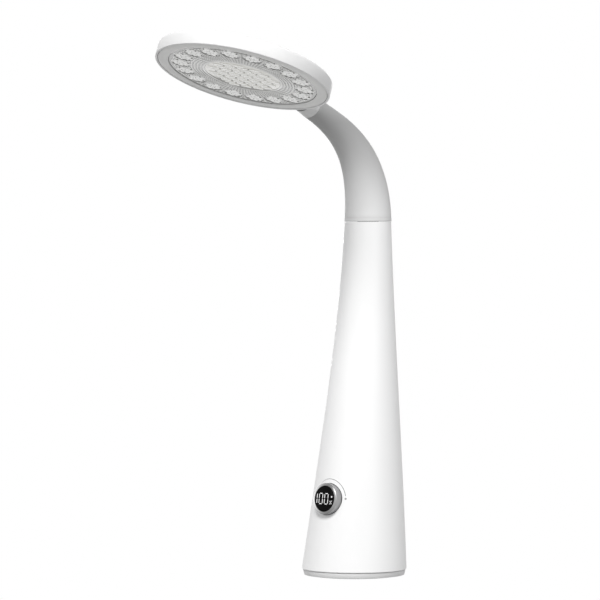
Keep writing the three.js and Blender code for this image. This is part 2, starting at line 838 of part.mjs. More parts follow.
// A flat ring with waves, pressed between the knob's web and the pocket's floor.
function waveSpring() {
  const inner = hubHole;
  const outer = inner + waveWidth;
  const middle = -(knobDepth + pocketDepth) / 2;
  const swing = (waveHeight - waveThickness) / 2;
  const sections = ringPoints(waveSteps).map((angle) => {
    const height = middle + swing * Math.cos(waveCount * angle);
    const corner = (radius, offset) => {
      const [x, y] = atCircle(radius, angle);
      return new THREE.Vector3(x, y, height + offset);
    };
    const up = waveThickness / 2;
    return [corner(inner, -up), corner(inner, up), corner(outer, up), corner(outer, -up)];
  });
  sections.push(sections[0]);
  return new LoftGeometry(sections);
}

function addKnobCarrier() {
  const encoderFront = pocketBack + seatGap;
  const side = encoderSize / 2;
  const housing = block(
    [-side, -side, -(encoderFront + encoderThickness)],
    [side, side, -encoderFront],
  );
  const way = rod(hubHole, -(encoderFront + encoderThickness + overrun), 0, coreSides);
  place("ring_encoder", cut(housing, way), darkPlastic, knobFrame);

  const switchSide = switchSize / 2;
  const button = block(
    [-switchSide, -switchSide, -(switchPlace + switchThickness)],
    [switchSide, switchSide, -switchPlace],
  );
  const wellFloor = stemEnd + noseLength + knobTravel + runningGap;
  const well = bore(noseRadius + runningGap, -wellFloor, 0);
  place("press_switch", cut(button, well), darkPlastic, knobFrame);

  const half = controlBoardWidth / 2;
  const tall = controlBoardHeight / 2;
  const board = block([-half, -tall, -(boardFace + boardThickness)], [half, tall, -boardFace]);
  const holes = controlPosts.map((x) =>
    bore(smallScrew.shank + seatGap, -(boardFace + boardThickness + overrun), 0).translate(x, 0, 0),
  );
  place("control_board", cut(board, ...holes), boardGreen, knobFrame);
  controlPosts.forEach((x, index) => {
    const base = -(boardFace + boardThickness + seatGap + smallScrew.headHeight);
    place(`control_screw_${index + 1}`, screw(smallScrew, x, 0, base), brightScrew, knobFrame);
  });
}

// Neck line: places along it are lengths from the body's top

const neckStart = new THREE.Vector3(0, bodyTopShift, bodyTopHeight);
const neckEnd = new THREE.Vector3(0, bodyTopShift - neckReach, bodyTopHeight + neckRise);

function leaning(degrees) {
  return new THREE.Vector3(0, -Math.sin(radians(degrees)), Math.cos(radians(degrees)));
}

const neckLine = new THREE.CubicBezierCurve3(
  neckStart,
  neckStart.clone().addScaledVector(leaning(neckStartLean), neckStartPull),
  neckEnd.clone().addScaledVector(leaning(neckEndLean), -neckEndPull),
  neckEnd,
);
const neckLength = neckLine.getLength();
const sleeveEnd = neckLength - sleeveShort;
const leadEnd = neckLength - leadShort;

function neckAt(length) {
  if (length <= 0) {
    return { centre: neckStart.clone().add(new THREE.Vector3(0, 0, length)), lean: 0, share: 0 };
  }
  if (length >= neckLength) {
    const centre = neckEnd.clone().addScaledVector(leaning(neckEndLean), length - neckLength);
    return { centre, lean: radians(neckEndLean), share: 1 };
  }
  const tangent = neckLine.getTangentAt(length / neckLength);
  const ease = Math.min(1, length / seamLength);
  return {
    centre: neckLine.getPointAt(length / neckLength),
    lean: Math.atan2(-tangent.y, tangent.z) * ease,
    share: neckLine.getUtoTmapping(length / neckLength),
  };
}

// A round section of the neck; angle 0 points to +X and a quarter turn to its upper side.
function neckRing(length, radius, sides) {
  const { centre, lean } = neckAt(length);
  const upper = new THREE.Vector3(0, Math.cos(lean), Math.sin(lean));
  return ringPoints(sides).map((angle) => {
    const [x, up] = atCircle(radius, angle);
    return centre.clone().addScaledVector(upper, up).add(new THREE.Vector3(x, 0, 0));
  });
}

// Sweeps a closed outline of [length, radius] points round the neck line.
function roundNeck(outline, sides) {
  const sections = outline.map(([length, radius]) => neckRing(length, radius, sides));
  sections.push(sections[0]);
  return new LoftGeometry(sections);
}

// A solid round bar along the neck line.
function neckRod(radius, from, to, sides) {
  const count = Math.ceil((to - from) / (2 * windingPitch));
  const sections = Array.from({ length: count + 1 }, (_, index) =>
    neckRing(THREE.MathUtils.lerp(from, to, index / count), radius, sides),
  );
  return new LoftGeometry(sections, { capStart: true, capEnd: true });
}

function neckRadius(length) {
  const start = bodyTopRadius + neckProud;
  const drop = start - neckEndRadius;
  const taper = new THREE.CubicBezierCurve(
    new THREE.Vector2(0, start),
    new THREE.Vector2(0, start - drop * neckTaperShares[0]),
    new THREE.Vector2(0, start - drop * neckTaperShares[1]),
    new THREE.Vector2(0, neckEndRadius),
  );
  return taper.getPoint(neckAt(length).share).y;
}

const sleeveStart = seatGap / 2;
const sleeveBore = hoseRadius + sleeveGap;
const hingeLengths = Array.from({ length: hingeCount }, (_, index) => hingeFirst + index * hingePitch);

function addSleeve() {
  const outline = [];
  outline.push([sleeveStart, neckRadius(0) - sleeveBevel]);
  for (let ring = 0; ring <= sleeveRings; ring += 1) {
    const share = ring / sleeveRings;
    const length = THREE.MathUtils.lerp(sleeveStart + sleeveBevel, sleeveEnd - sleeveBevel, share);
    outline.push([length, neckRadius(length)]);
  }
  outline.push([sleeveEnd, neckRadius(sleeveEnd) - sleeveBevel]);
  outline.push([sleeveEnd, sleeveBore]);
  for (let ring = 2 * hingeCount - 2; ring >= 0; ring -= 1) {
    outline.push([hingeFirst + (ring * hingePitch) / 2, sleeveBore]);
  }
  outline.push([anchorTop + seatGap, anchorTopRadius + seatGap]);
  outline.push([anchorFlange + seatGap, anchorConeRadius + seatGap]);
  outline.push([anchorFlange + seatGap, anchorFlangeRadius + seatGap]);
  outline.push([sleeveStart, anchorFlangeRadius + seatGap]);
  place("neck_sleeve", roundNeck(outline, neckSides), greySilicone);
}

// Bevel that keeps the ends of two hose lengths apart when the hinge between them bends.
function hoseEndStep(radius) {
  return hingeSlack + radius * Math.tan(radians(hingeRange) / 2);
}

function hoseLength(from, to, bevelFrom, bevelTo) {
  const outline = [];
  const start = bevelFrom ? from + hoseEndStep(hoseRadius) : from;
  const end = bevelTo ? to - hoseEndStep(hoseRadius) : to;
  outline.push([bevelFrom ? from + hoseEndStep(hoseEndRadius) : from, hoseEndRadius]);
  const count = Math.max(1, Math.round((end - start) / windingPitch));
  const pitch = (end - start) / count;
  for (let turn = 0; turn < count; turn += 1) {
    outline.push([start + turn * pitch, hoseRadius - hoseGroove]);
    outline.push([start + (turn + 0.5) * pitch, hoseRadius]);
  }
  outline.push([end, hoseRadius - hoseGroove]);
  outline.push([bevelTo ? to - hoseEndStep(hoseEndRadius) : to, hoseEndRadius]);
  outline.push([bevelTo ? to - hoseEndStep(hoseEndRadius) : to, hoseBore]);
  const bends = Math.ceil((to - from) / hingePitch);
  for (let bend = bends - 1; bend > 0; bend -= 1) {
    outline.push([THREE.MathUtils.lerp(from, to, bend / bends), hoseBore]);
  }
  outline.push([bevelFrom ? from + hoseEndStep(hoseEndRadius) : from, hoseBore]);
  return roundNeck(outline, innerSides);
}

function addHose() {
  place("gooseneck_root", hoseLength(-hoseTailLength, hingeLengths[0], false, true), steel);
  for (let link = 1; link < hingeCount; link += 1) {
    const geometry = hoseLength(hingeLengths[link - 1], hingeLengths[link], true, true);
    place(`gooseneck_link_${link}`, geometry, steel);
  }
}

function addAnchor() {
  const anchor = roundNeck(
    [
      [seatGap / 2, anchorFlangeRadius],
      [anchorFlange, anchorFlangeRadius],
      [anchorFlange, anchorConeRadius],
      [anchorTop, anchorTopRadius],
      [anchorTop, sleeveBore],
      [anchorTop / 2, sleeveBore],
      [0, sleeveBore],
      [-anchorTail, sleeveBore],
      [-anchorTail, anchorTailRadius],
      [seatGap / 2, anchorTailRadius],
    ],
    fittingSides,
  );
  place("neck_anchor", anchor, darkPlastic);
  const nutTop = bodyTopHeight - bodyTopWeb - seatGap;
  const nutLow = nutTop - nutHeight;
  const nut = rod(nutRadius, nutLow, nutTop, screwSides);
  const thread = rod(anchorTailRadius + seatGap, nutLow - overrun, nutTop + overrun, fittingSides);
  place("anchor_nut", cut(nut, thread).translate(0, bodyTopShift, 0), brightScrew);
}

// A lead along a smooth curve through the given points.
function leadThrough(points, radius, steps) {
  const path = new THREE.CatmullRomCurve3(points.map((point) => new THREE.Vector3(...point)));
  const shape = new THREE.Shape();
  ringPoints(leadSides).forEach((angle, index) => {
    const [x, y] = atCircle(radius, angle);
    if (index === 0) shape.moveTo(x, y);
    else shape.lineTo(x, y);
  });
  return new THREE.ExtrudeGeometry(shape, { steps, bevelEnabled: false, extrudePath: path });
}

function addLeads() {
  place("neck_lead", neckRod(leadRadius, -hoseTailLength - leadRadius, leadEnd, leadSides), whiteLead);

  const behind = frameBack + 2 * leadRadius;
  const top = bodyTopHeight - hoseTailLength - 2 * leadRadius;
  const connectorTopShare = connectorPlaceShare + connectorHalfShare;
  const connectorTop = THREE.MathUtils.lerp(mainBoardLow, mainBoardHigh, connectorTopShare) + seatGap;
  const points = [
    [0, bodyTopShift, top],
    [0, bodyTopShift, top - windingPitch],
    [0, behind, frameTop + 2 * windingPitch],
    [0, behind, strapPlace + 2 * strapHeight],
    [0, behind, cellFloor],
    [0, behind - leadRadius, mainBoardHigh + standoffInset + leadRadius],
    [0, framePlace, mainBoardHigh + standoffInset],
    [0, mainBoardFace, mainBoardHigh + standoffInset],
    [0, mainBoardFace - standoff, mainBoardHigh + standoffInset / 2],
    [0, mainBoardFace - standoff, connectorTop],
  ];
  place("base_lead", leadThrough(points, leadRadius, leadSteps), whiteLead);
}

// Head frame: its lower face is the plane z = 0 and +Y points back to the neck

const headFrame = new THREE.Group();
const headUp = new THREE.Vector3(0, Math.sin(radians(headTilt)), Math.cos(radians(headTilt)));
const headFront = new THREE.Vector3(0, -Math.cos(radians(headTilt)), Math.sin(radians(headTilt)));
headFrame.position
  .copy(neckEnd)
  .addScaledVector(headUp, -headSink)
  .addScaledVector(headFront, headSetback + headRadius);
headFrame.rotation.x = -radians(headTilt);
headFrame.updateMatrixWorld(true);
lamp.add(headFrame);

function fromHead(geometry) {
  return geometry.applyMatrix4(headFrame.matrixWorld);
}

function inHead(point) {
  return headFrame.worldToLocal(point.clone());
}

const headCeiling = headThickness - headTopWall;
const headWallInner = headRadius - headSideWall;
const bezelOuter = headWallInner - bezelGap;
const bezelInner = bezelOuter - bezelWidth;
const lensRadius = bezelInner - lensGap;
const lensFlangeRadius = lensRadius + lensFlangeWidth;
const clusterCircle = lensRadius - clusterInset;
const discRadius = lensRadius - discInset;
const innerRidgeStart = discRadius + innerRidgeGap;
const outerRidgeStart = lensRadius - outerRidgeInset;
const tongueFront = headWallInner - tongueReach;
const tongueScrewPlace = headWallInner - tongueScrewReach;
const lightBoardRadius = bezelInner + lightBoardOverlap;
const lightBoardBack = tongueFront - lightBoardTrim;
const reflectorRadius = lightBoardRadius - reflectorInset;
const boardPostCircle = clusterCircle - boardPostInset;
const connectorBack = lightBoardBack - connectorInset;
const boardTop = lightBoardLow + lightBoardThickness;
const tongueTop = tongueLow + tongueThickness;
const tongueScrews = [-tongueScrewSpread / 2, tongueScrewSpread / 2];
const boardPosts = ringPoints(boardPostCount, Math.PI / 6).map((angle) => atCircle(boardPostCircle, angle));
const catchAngles = ringPoints(catchCount);
const catchHigh = catchLow + catchHeight;
const clusterAngles = ringPoints(clusterCount, Math.PI / 2 + Math.PI / clusterCount);

function catchBlock(inner, outer, width, low, high, angle) {
  return block([inner, -width / 2, low], [outer, width / 2, high]).rotateZ(angle);
}

function addHeadShell() {
  const corner = headRadius - headRound;
  const arc = [1, 2].map((step) => {
    const angle = (step * Math.PI) / 6;
    return [corner + headRound * Math.cos(angle), headThickness - headRound + headRound * Math.sin(angle)];
  });
  const shell = revolve(
    [
      [0, headCeiling],
      [headWallInner - headTopWall, headCeiling],
      [headWallInner, headCeiling - headTopWall],
      [headWallInner, 0],
      [headRadius, 0],
      [headRadius, headThickness - headRound],
      ...arc,
      [corner, headThickness],
      [0, headThickness],
    ],
    headSides,
  );
  const posts = boardPosts.map(([x, y]) => {
    return rod(boardPostRadius, boardTop + seatGap, headThickness - headTopWall / 2).translate(x, y, 0);
  });
  const tonguePosts = tongueScrews.map((x) => {
    const post = rod(tongueScrew.head + seatGap, tongueTop + seatGap, headThickness - headTopWall / 2);
    return post.translate(x, tongueScrewPlace, 0);
  });
  const catchInner = headWallInner - catchDepth;
  const catches = catchAngles.map((angle) =>
    catchBlock(catchInner, headRadius - headSideWall / 2, catchWidth, catchLow, catchHigh, angle),
  );
  const notch = block(
    [-notchWidth / 2, headWallInner - overrun, notchLow],
    [notchWidth / 2, headRadius + overrun, notchHigh],
  );
  const postHoles = boardPosts.map(([x, y]) => {
    return bore(smallScrew.shank + seatGap / 2, 0, headCeiling).translate(x, y, 0);
  });
  const tongueHoles = tongueScrews.map((x) => {
    return bore(tongueScrew.shank + seatGap / 2, 0, headCeiling).translate(x, tongueScrewPlace, 0);
  });
  const whole = joined(shell, ...posts, ...tonguePosts, ...catches);
  place("head_shell", cut(whole, notch, ...postHoles, ...tongueHoles), whiteShell, headFrame);
}

// Lens disc: concentric ridges, a ring of four-lobed lenses and a middle of six-sided pads
function addLens() {
  const lowest = lensFace - lensRelief;
  const face = [];
  const ridges = (start, count) => {
    for (let ridge = 0; ridge < count; ridge += 1) {
      const middle = start + ridge * ridgePitch;
      face.push([middle - ridgePitch / 2, lensFace]);
      face.push([middle, lowest]);
    }
    face.push([start + (count - 0.5) * ridgePitch, lensFace]);
  };
  ridges(innerRidgeStart, innerRidgeCount);
  ridges(outerRidgeStart, outerRidgeCount);
  const plate = revolve(
    [
      [0, lensFace],
      ...face,
      [lensRadius, lensFace],
      [lensRadius, lensTop - lensFlange],
      [lensFlangeRadius, lensTop - lensFlange],
      [lensFlangeRadius, lensTop],
      [0, lensTop],
    ],
    headSides,
  );
  const sunk = lensFace + lensRelief;
  const clusters = clusterAngles.map((angle) =>
    fourLobes(lowest, sunk).translate(clusterCircle, 0, 0).rotateZ(angle),
  );
  const padReach = 2 * cellPadRadius - cellPadTopRadius;
  const pad = rod(cellPadTopRadius, lowest, sunk, screwSides, padReach);
  const padPlaces = hexPlaces(cellPitch, discRadius - cellPadRadius);
  const pads = padPlaces.map(([x, y]) => pad.clone().translate(x, y, 0));
  place("lens_disc", joined(plate, ...clusters, ...pads), clearLens, headFrame);
}

// A four-lobed boss that narrows towards its low end.
function fourLobes(low, high) {
  const outline = (height, grow) =>
    ringPoints(4).flatMap((turn) => {
      const tip = atCircle(lobeReach + grow, turn);
      const waist = atCircle(lobeWaist + grow, turn + Math.PI / 4);
      return [tip, waist].map(([x, y]) => new THREE.Vector3(x, y, height));
    });
  const sections = [outline(low, -lobeBevel), outline(high, lobeBevel)];
  return new LoftGeometry(sections, { capStart: true, capEnd: true });
}

// Places in staggered rows, which run from front to back, inside a circle.
function hexPlaces(pitch, limit) {
  const places = [];
  const rowPitch = (pitch * Math.sqrt(3)) / 2;
  const reach = Math.ceil(limit / rowPitch);
  for (let row = -reach; row <= reach; row += 1) {
    const shift = row % 2 === 0 ? 0 : pitch / 2;
    for (let column = -reach; column <= reach; column += 1) {
      const x = column * pitch + shift;
      const y = row * rowPitch;
      if (Math.hypot(x, y) <= limit) places.push([y, x]);
    }
  }
  return places;
}

function addBezel() {
  const ring = revolve(
    [
      [bezelInner, bezelLow],
      [bezelOuter, bezelLow],
      [bezelOuter, bezelWallTop],
      [bezelOuter - bezelWall, bezelWallTop],
      [bezelOuter - bezelWall, bezelLow + bezelThickness],
      [bezelInner, bezelLow + bezelThickness],
    ],
    headSides,
  );
  const windowInner = bezelOuter - bezelWall - overrun;
  const windowWidth = catchWidth + 2 * seatGap;
  const windowLow = catchLow - seatGap;
  const windows = catchAngles.map((angle) =>
    catchBlock(windowInner, bezelOuter + overrun, windowWidth, windowLow, catchHigh + seatGap, angle),
  );
  const clear = notchWidth / 2 + seatGap;
  const notch = block(
    [-clear, bezelInner, notchLow - seatGap],
    [clear, bezelOuter + overrun, bezelWallTop + overrun],
  );
  place("head_bezel", cut(ring, ...windows, notch), clearLens, headFrame);
}

function chipPlaces() {
  const ring = clusterAngles.map((angle) => atCircle(clusterCircle, angle));
  return [...ring, ...hexPlaces(innerChipPitch, discRadius - chipSize)];
}

function trimmedDisc(radius, low, high) {
  const disc = rod(radius, low, high, headSides);
  const behind = block([-radius, lightBoardBack, low - overrun], [radius, radius + overrun, high + overrun]);
  return cut(disc, behind);
}

function addLights() {
  const board = trimmedDisc(lightBoardRadius, lightBoardLow, boardTop);
  const half = chipSize / 2;
  const chips = chipPlaces().map(([x, y]) =>
    block([x - half, y - half, lightBoardLow - chipHeight], [x + half, y + half, lightBoardLow + chipHeight]),
  );
  const holes = boardPosts.map(([x, y]) => {
    return bore(smallScrew.shank + seatGap, 0, boardTop + overrun).translate(x, y, 0);
  });
  place("light_board", cut(joined(board, ...chips), ...holes), boardWhite, headFrame);

  const sheet = trimmedDisc(reflectorRadius, reflectorLow, reflectorLow + reflectorThickness);
  const openHalf = reflectorHole / 2;
  const openings = chipPlaces().map(([x, y]) =>
    block([x - openHalf, y - openHalf, 0], [x + openHalf, y + openHalf, lightBoardLow]),
  );
  const screwRoom = boardPosts.map(([x, y]) => {
    return bore(smallScrew.head + seatGap, 0, lightBoardLow).translate(x, y, 0);
  });
  place("reflector_sheet", cut(sheet, ...openings, ...screwRoom), boardWhite, headFrame);

  boardPosts.forEach(([x, y], index) => {
    const base = lightBoardLow - seatGap - smallScrew.headHeight;
    const fitting = { ...smallScrew, length: headCeiling - lightBoardLow };
    place(`light_screw_${index + 1}`, screw(fitting, x, y, base), brightScrew, headFrame);
  });

  const side = connectorWidth / 2;
  const plug = block(
    [-side, connectorBack - connectorDepth, boardTop + seatGap],
    [side, connectorBack, boardTop + seatGap + connectorHeight],
  );
  place("lead_connector", plug, boardWhite, headFrame);
}

// Tip: the hose's last fitting, whose flat tongue is screwed inside the head

function addTip() {
  const start = hingeLengths[hingeCount - 1];
  const shoulderStart = sleeveEnd + seatGap + collarWall + seatGap;
  const shoulderEnd = shoulderStart + tipShoulderLength;
  const barrel = roundNeck(
    [
      [start + hoseEndStep(hoseEndRadius), hoseEndRadius],
      [start + hoseEndStep(hoseRadius), hoseRadius],
      [shoulderStart, hoseRadius],
      [shoulderStart, tipShoulderRadius],
      [shoulderEnd, tipShoulderRadius],
      [shoulderEnd, hoseBore],
      [start + hoseEndStep(hoseEndRadius), hoseBore],
    ],
    innerSides,
  );
  const half = tongueWidth / 2;
  const tongueBack = inHead(neckAt(shoulderStart).centre).y - hoseBore / 2;
  const leadWay = neckRod(leadRadius + seatGap, shoulderStart, shoulderEnd + overrun, innerSides);
  const plate = fromHead(block([-half, tongueFront, tongueLow], [half, tongueBack, tongueTop]));
  const tongue = cut(plate, leadWay);
  const holes = tongueScrews.map((x) => {
    const hole = bore(tongueScrew.shank + seatGap, tongueLow - overrun, tongueTop + overrun);
    return fromHead(hole.translate(x, tongueScrewPlace, 0));
  });
  place("neck_tip", cut(joined(barrel, tongue), ...holes), steel);
  tongueScrews.forEach((x, index) => {
    const base = tongueLow - seatGap - tongueScrew.headHeight;
    const name = `tip_screw_${index + 1}`;
    place(name, screw(tongueScrew, x, tongueScrewPlace, base), brightScrew, headFrame);
  });

  const leadStart = inHead(neckAt(leadEnd).centre);
  const connectorMiddle = boardTop + seatGap + connectorHeight / 2;
  const points = [
    [0, leadStart.y - leadRadius, leadStart.z],
    [0, headRadius, tongueTop + 2 * headLeadRadius],
    [0, tongueScrewPlace, tongueTop + 2 * headLeadRadius],
    [0, connectorBack + seatGap, connectorMiddle],
  ];
  place("head_lead", leadThrough(points, headLeadRadius, headLeadSteps), whiteLead, headFrame);
}

// Collar sections are ovals between a lower and an upper line, from the sleeve's end to the head
function collarLoft(inset, fromShare) {
  const start = neckAt(sleeveEnd + seatGap);
  const startRadius = neckRadius(sleeveEnd);
  const upper = new THREE.Vector3(0, Math.cos(start.lean), Math.sin(start.lean));
  const ahead = new THREE.Vector3(0, -Math.sin(start.lean), Math.cos(start.lean));
  const lowStart = start.centre.clone().addScaledVector(upper, -startRadius);
  const highStart = start.centre.clone().addScaledVector(upper, startRadius);
  const inside = headRadius - headSideWall;
  const lowEnd = headFrame.localToWorld(new THREE.Vector3(0, inside, collarFoot));
  const highEnd = headFrame.localToWorld(new THREE.Vector3(0, inside, collarCrown));
  const lowLine = new THREE.LineCurve3(lowStart, lowEnd);
  const bend = highStart.clone().addScaledVector(ahead, collarPull);
  const highLine = new THREE.QuadraticBezierCurve3(highStart, bend, highEnd);
  const sections = [];
  for (let ring = 0; ring <= collarRings; ring += 1) {
    const share = THREE.MathUtils.lerp(fromShare, 1, ring / collarRings);
    const low = lowLine.getPoint(share);
    const high = highLine.getPoint(share);
    const middle = low.clone().lerp(high, 0.5);
    const rise = high.clone().sub(low).normalize();
    const tall = high.distanceTo(low) / 2 - inset;
    const wide = THREE.MathUtils.lerp(startRadius, collarHalfWidth, share) - inset;
    sections.push(
      ringPoints(collarSides).map((angle) =>
        middle
          .clone()
          .addScaledVector(rise, tall * Math.sin(angle))
          .add(new THREE.Vector3(wide * Math.cos(angle), 0, 0)),
      ),
    );
  }
  return new LoftGeometry(sections, { capStart: true, capEnd: true });
}

function addCollar() {
  const outside = collarLoft(0, 0);
  const meeting = headFrame.localToWorld(new THREE.Vector3(0, headRadius, headSink));
  const length = neckAt(sleeveEnd).centre.distanceTo(meeting);
  const hollow = collarLoft(collarWall, collarWall / length);
  const headRoom = fromHead(rod(headRadius + seatGap, -headThickness, 2 * headThickness, headSides));
  const boreEnd = sleeveEnd + collarWall + overrun;
  const hoseWay = neckRod(sleeveBore, sleeveEnd - overrun, boreEnd, neckSides);
  place("head_collar", cut(outside, hollow, headRoom, hoseWay), whiteShell);
}

addBodyShell();
addFoot();
addBallast();
addFrame();
addCells();
addMainBoard();
addChargePort();
addKnob();
addKnobCarrier();
addSleeve();
addHose();
addAnchor();
addLeads();
addHeadShell();
addLens();
addBezel();
addLights();
addTip();
addCollar();

export default lamp;
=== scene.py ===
import math

import bmesh
import bpy
from mathutils import Matrix, Vector
from mathutils.geometry import interpolate_bezier


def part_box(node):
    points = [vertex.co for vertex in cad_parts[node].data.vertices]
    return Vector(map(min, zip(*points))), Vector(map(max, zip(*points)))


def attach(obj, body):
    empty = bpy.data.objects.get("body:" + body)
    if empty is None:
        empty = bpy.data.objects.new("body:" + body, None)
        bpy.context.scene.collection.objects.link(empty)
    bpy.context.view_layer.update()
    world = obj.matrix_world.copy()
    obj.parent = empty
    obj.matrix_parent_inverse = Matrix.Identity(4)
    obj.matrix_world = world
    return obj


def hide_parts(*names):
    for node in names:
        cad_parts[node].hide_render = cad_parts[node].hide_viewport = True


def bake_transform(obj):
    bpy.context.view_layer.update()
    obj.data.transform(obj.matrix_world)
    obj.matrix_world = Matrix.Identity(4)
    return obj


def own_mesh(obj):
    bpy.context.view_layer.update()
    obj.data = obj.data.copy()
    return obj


# A rechargeable desk lamp: a tall leaning cone with a display knob, a bending neck and a flat disc head.
# Metres, +Z up, front towards -Y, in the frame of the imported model.
MM = 0.001
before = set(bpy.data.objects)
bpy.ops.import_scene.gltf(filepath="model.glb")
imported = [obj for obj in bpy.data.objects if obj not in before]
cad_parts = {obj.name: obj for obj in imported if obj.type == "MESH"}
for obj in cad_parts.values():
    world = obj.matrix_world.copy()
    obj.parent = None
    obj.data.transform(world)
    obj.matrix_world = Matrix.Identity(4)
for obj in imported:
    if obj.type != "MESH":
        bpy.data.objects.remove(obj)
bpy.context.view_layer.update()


def mm(*lengths):
    return tuple(length * MM for length in lengths)


# Helpers for node trees. An input is named by its label or its number.
WHITE = (1, 1, 1, 1)


def grey(level):
    return level, level, level


def fill(tree, target, inputs):
    """Gives each input of target its plain value, or wires it to the output given for it."""
    for socket, value in inputs.items():
        if isinstance(value, bpy.types.NodeSocket):
            tree.links.new(value, target.inputs[socket])
        else:
            target.inputs[socket].default_value = value


def node(tree, kind, inputs=None, **settings):
    made = tree.nodes.new("ShaderNode" + kind)
    for name, value in settings.items():
        setattr(made, name, value)
    fill(tree, made, inputs or {})
    return made


def calc(tree, operation, first, *others, clamp=False):
    """The result of an operation on one or two values; with more, it runs on from left to right."""
    result = first
    for other in others or (0,):
        made = node(tree, "Math", {0: result, 1: other}, operation=operation, use_clamp=clamp)
        result = made.outputs[0]
    return result


def distance(tree, across, up):
    squares = [calc(tree, "MULTIPLY", value, value) for value in (across, up)]
    return calc(tree, "SQRT", calc(tree, "ADD", *squares))


def new_look(name, **sockets):
    """A material, its node tree and its shader; sockets are plain values on the shader."""
    look = bpy.data.materials.new(name)
    look.use_nodes = True
    shader = look.node_tree.nodes["Principled BSDF"]
    fill(look.node_tree, shader, {label.replace("_", " "): value for label, value in sockets.items()})
    return look, look.node_tree, shader


# Helpers for meshes. An edge that turns by more than the crease stays sharp in the shading.
CREASE, SOFTEN_ANGLE, SOFTEN_STEPS = math.radians(35), math.radians(40), 2
ROD_SIDES, LATHE_STEPS, SLOT_SIDES = 96, 144, 48
MERGE_DISTANCE = 0.001 * MM


def linked(name, data):
    made = bpy.data.objects.new(name, data)
    bpy.context.scene.collection.objects.link(made)
    return made


def smooth(mesh):
    mesh.shade_smooth()
    mesh.set_sharp_from_angle(angle=CREASE)


def as_object(bm, name):
    mesh = bpy.data.meshes.new(name)
    bm.to_mesh(mesh)
    bm.free()
    smooth(mesh)
    return linked(name, mesh)


def combine(target, tool, operation="DIFFERENCE"):
    """Cuts, joins or intersects target with a mesh or an object, which is used up."""
    if isinstance(tool, bmesh.types.BMesh):
        tool = as_object(tool, "tool")
    step = target.modifiers.new("form", "BOOLEAN")
    step.operation = operation
    step.solver = "EXACT"
    step.object = tool
    bpy.context.view_layer.update()
    target.data = bpy.data.meshes.new_from_object(
        target.evaluated_get(bpy.context.evaluated_depsgraph_get()))
    target.modifiers.clear()
    smooth(target.data)
    bpy.data.objects.remove(tool)


def round_place(centre, across, along, wide, tall=None):
    """A matrix that takes the unit circle to a ring there, with its axes along across and along."""
    axis = across.cross(along)
    turned = Matrix((across * wide, along * (tall or wide), axis)).transposed().to_4x4()
    return Matrix.Translation(centre) @ turned


def swept(places, sides, closed=False):
    """Extrudes a circle from place to place; closed joins the last ring to the first."""
    bm = bmesh.new()
    made = bmesh.ops.create_circle(bm, segments=sides, radius=1)
    bmesh.ops.transform(bm, matrix=places[0], verts=made["verts"])
    first = edges = bm.edges[:]
    for before, after in zip(places, places[1:]):
        made = bmesh.ops.extrude_edge_only(bm, edges=edges)["geom"]
        verts = {item for item in made if isinstance(item, bmesh.types.BMVert)}
        edges = [e for e in made if isinstance(e, bmesh.types.BMEdge) and verts.issuperset(e.verts)]
        bmesh.ops.transform(bm, matrix=after @ before.inverted(), verts=list(verts))
    if closed:
        bmesh.ops.bridge_loops(bm, edges=first + edges)
    else:
        bmesh.ops.holes_fill(bm, edges=first + edges, sides=0)
    bmesh.ops.recalc_face_normals(bm, faces=bm.faces)
    return bm


def add_rod(bm, radius, low, high, place, sides):
    middle = place @ Matrix.Translation((0, 0, (low + high) / 2))
    bmesh.ops.create_cone(bm, cap_ends=True, segments=sides, radius1=radius, radius2=radius,
                          depth=high - low, matrix=middle)


def upright_rod(radius, low, high, place, sides=ROD_SIDES):
    bm = bmesh.new()
    add_rod(bm, radius, low, high, place, sides)
    return bm


def slot_bar(wide, tall, front, back, height):
    """A bar with round sides that runs from front to back."""
    bm = bmesh.new()
    bmesh.ops.create_circle(bm, cap_ends=True, segments=SLOT_SIDES, radius=tall / 2)
    for vert in bm.verts:
        vert.co.x += math.copysign(wide / 2 - tall / 2, vert.co.x)
    level = Matrix.Translation((0, front, height)) @ Matrix.Rotation(math.pi / 2, 4, "X")
    bmesh.ops.transform(bm, matrix=level, verts=bm.verts)
    made = bmesh.ops.extrude_face_region(bm, geom=bm.faces[:])["geom"]
    verts = [item for item in made if isinstance(item, bmesh.types.BMVert)]
    bmesh.ops.translate(bm, vec=(0, back - front, 0), verts=verts)
    bmesh.ops.recalc_face_normals(bm, faces=bm.faces)
    return bm


def lathe(profile, steps=LATHE_STEPS, place=Matrix()):
    """Spins a profile of radii and heights round the axis; off the axis its ends are joined."""
    bm = bmesh.new()
    points = [bm.verts.new((radius, 0, height)) for radius, height in profile]
    pairs = list(zip(points, points[1:]))
    if min(radius for radius, height in profile) > 0:
        pairs.append((points[-1], points[0]))
    edges = [bm.edges.new(pair) for pair in pairs]
    bmesh.ops.spin(bm, geom=points + edges, cent=(0, 0, 0), axis=(0, 0, 1), angle=math.tau, steps=steps,
                   use_merge=True)
    bmesh.ops.remove_doubles(bm, verts=bm.verts, dist=MERGE_DISTANCE)
    bmesh.ops.recalc_face_normals(bm, faces=bm.faces)
    bmesh.ops.transform(bm, matrix=place, verts=bm.verts)
    return bm


def soften(bm, width, angle=SOFTEN_ANGLE):
    """Rounds every edge that turns by more than angle."""
    sharp = [edge for edge in bm.edges if edge.is_manifold and edge.calc_face_angle() > angle]
    bmesh.ops.bevel(bm, geom=sharp, offset=width, affect="EDGES", segments=SOFTEN_STEPS, profile=0.5,
                    material=-1, clamp_overlap=True)
    return bm


def add_block(bm, place, length, width, tall):
    size = Matrix.Diagonal((length, width, tall, 1))
    return bmesh.ops.create_cube(bm, size=1, matrix=place @ size)["verts"]


def box(low, high):
    bm = bmesh.new()
    low, high = Vector(low), Vector(high)
    add_block(bm, Matrix.Translation((low + high) / 2), *(high - low))
    return bm


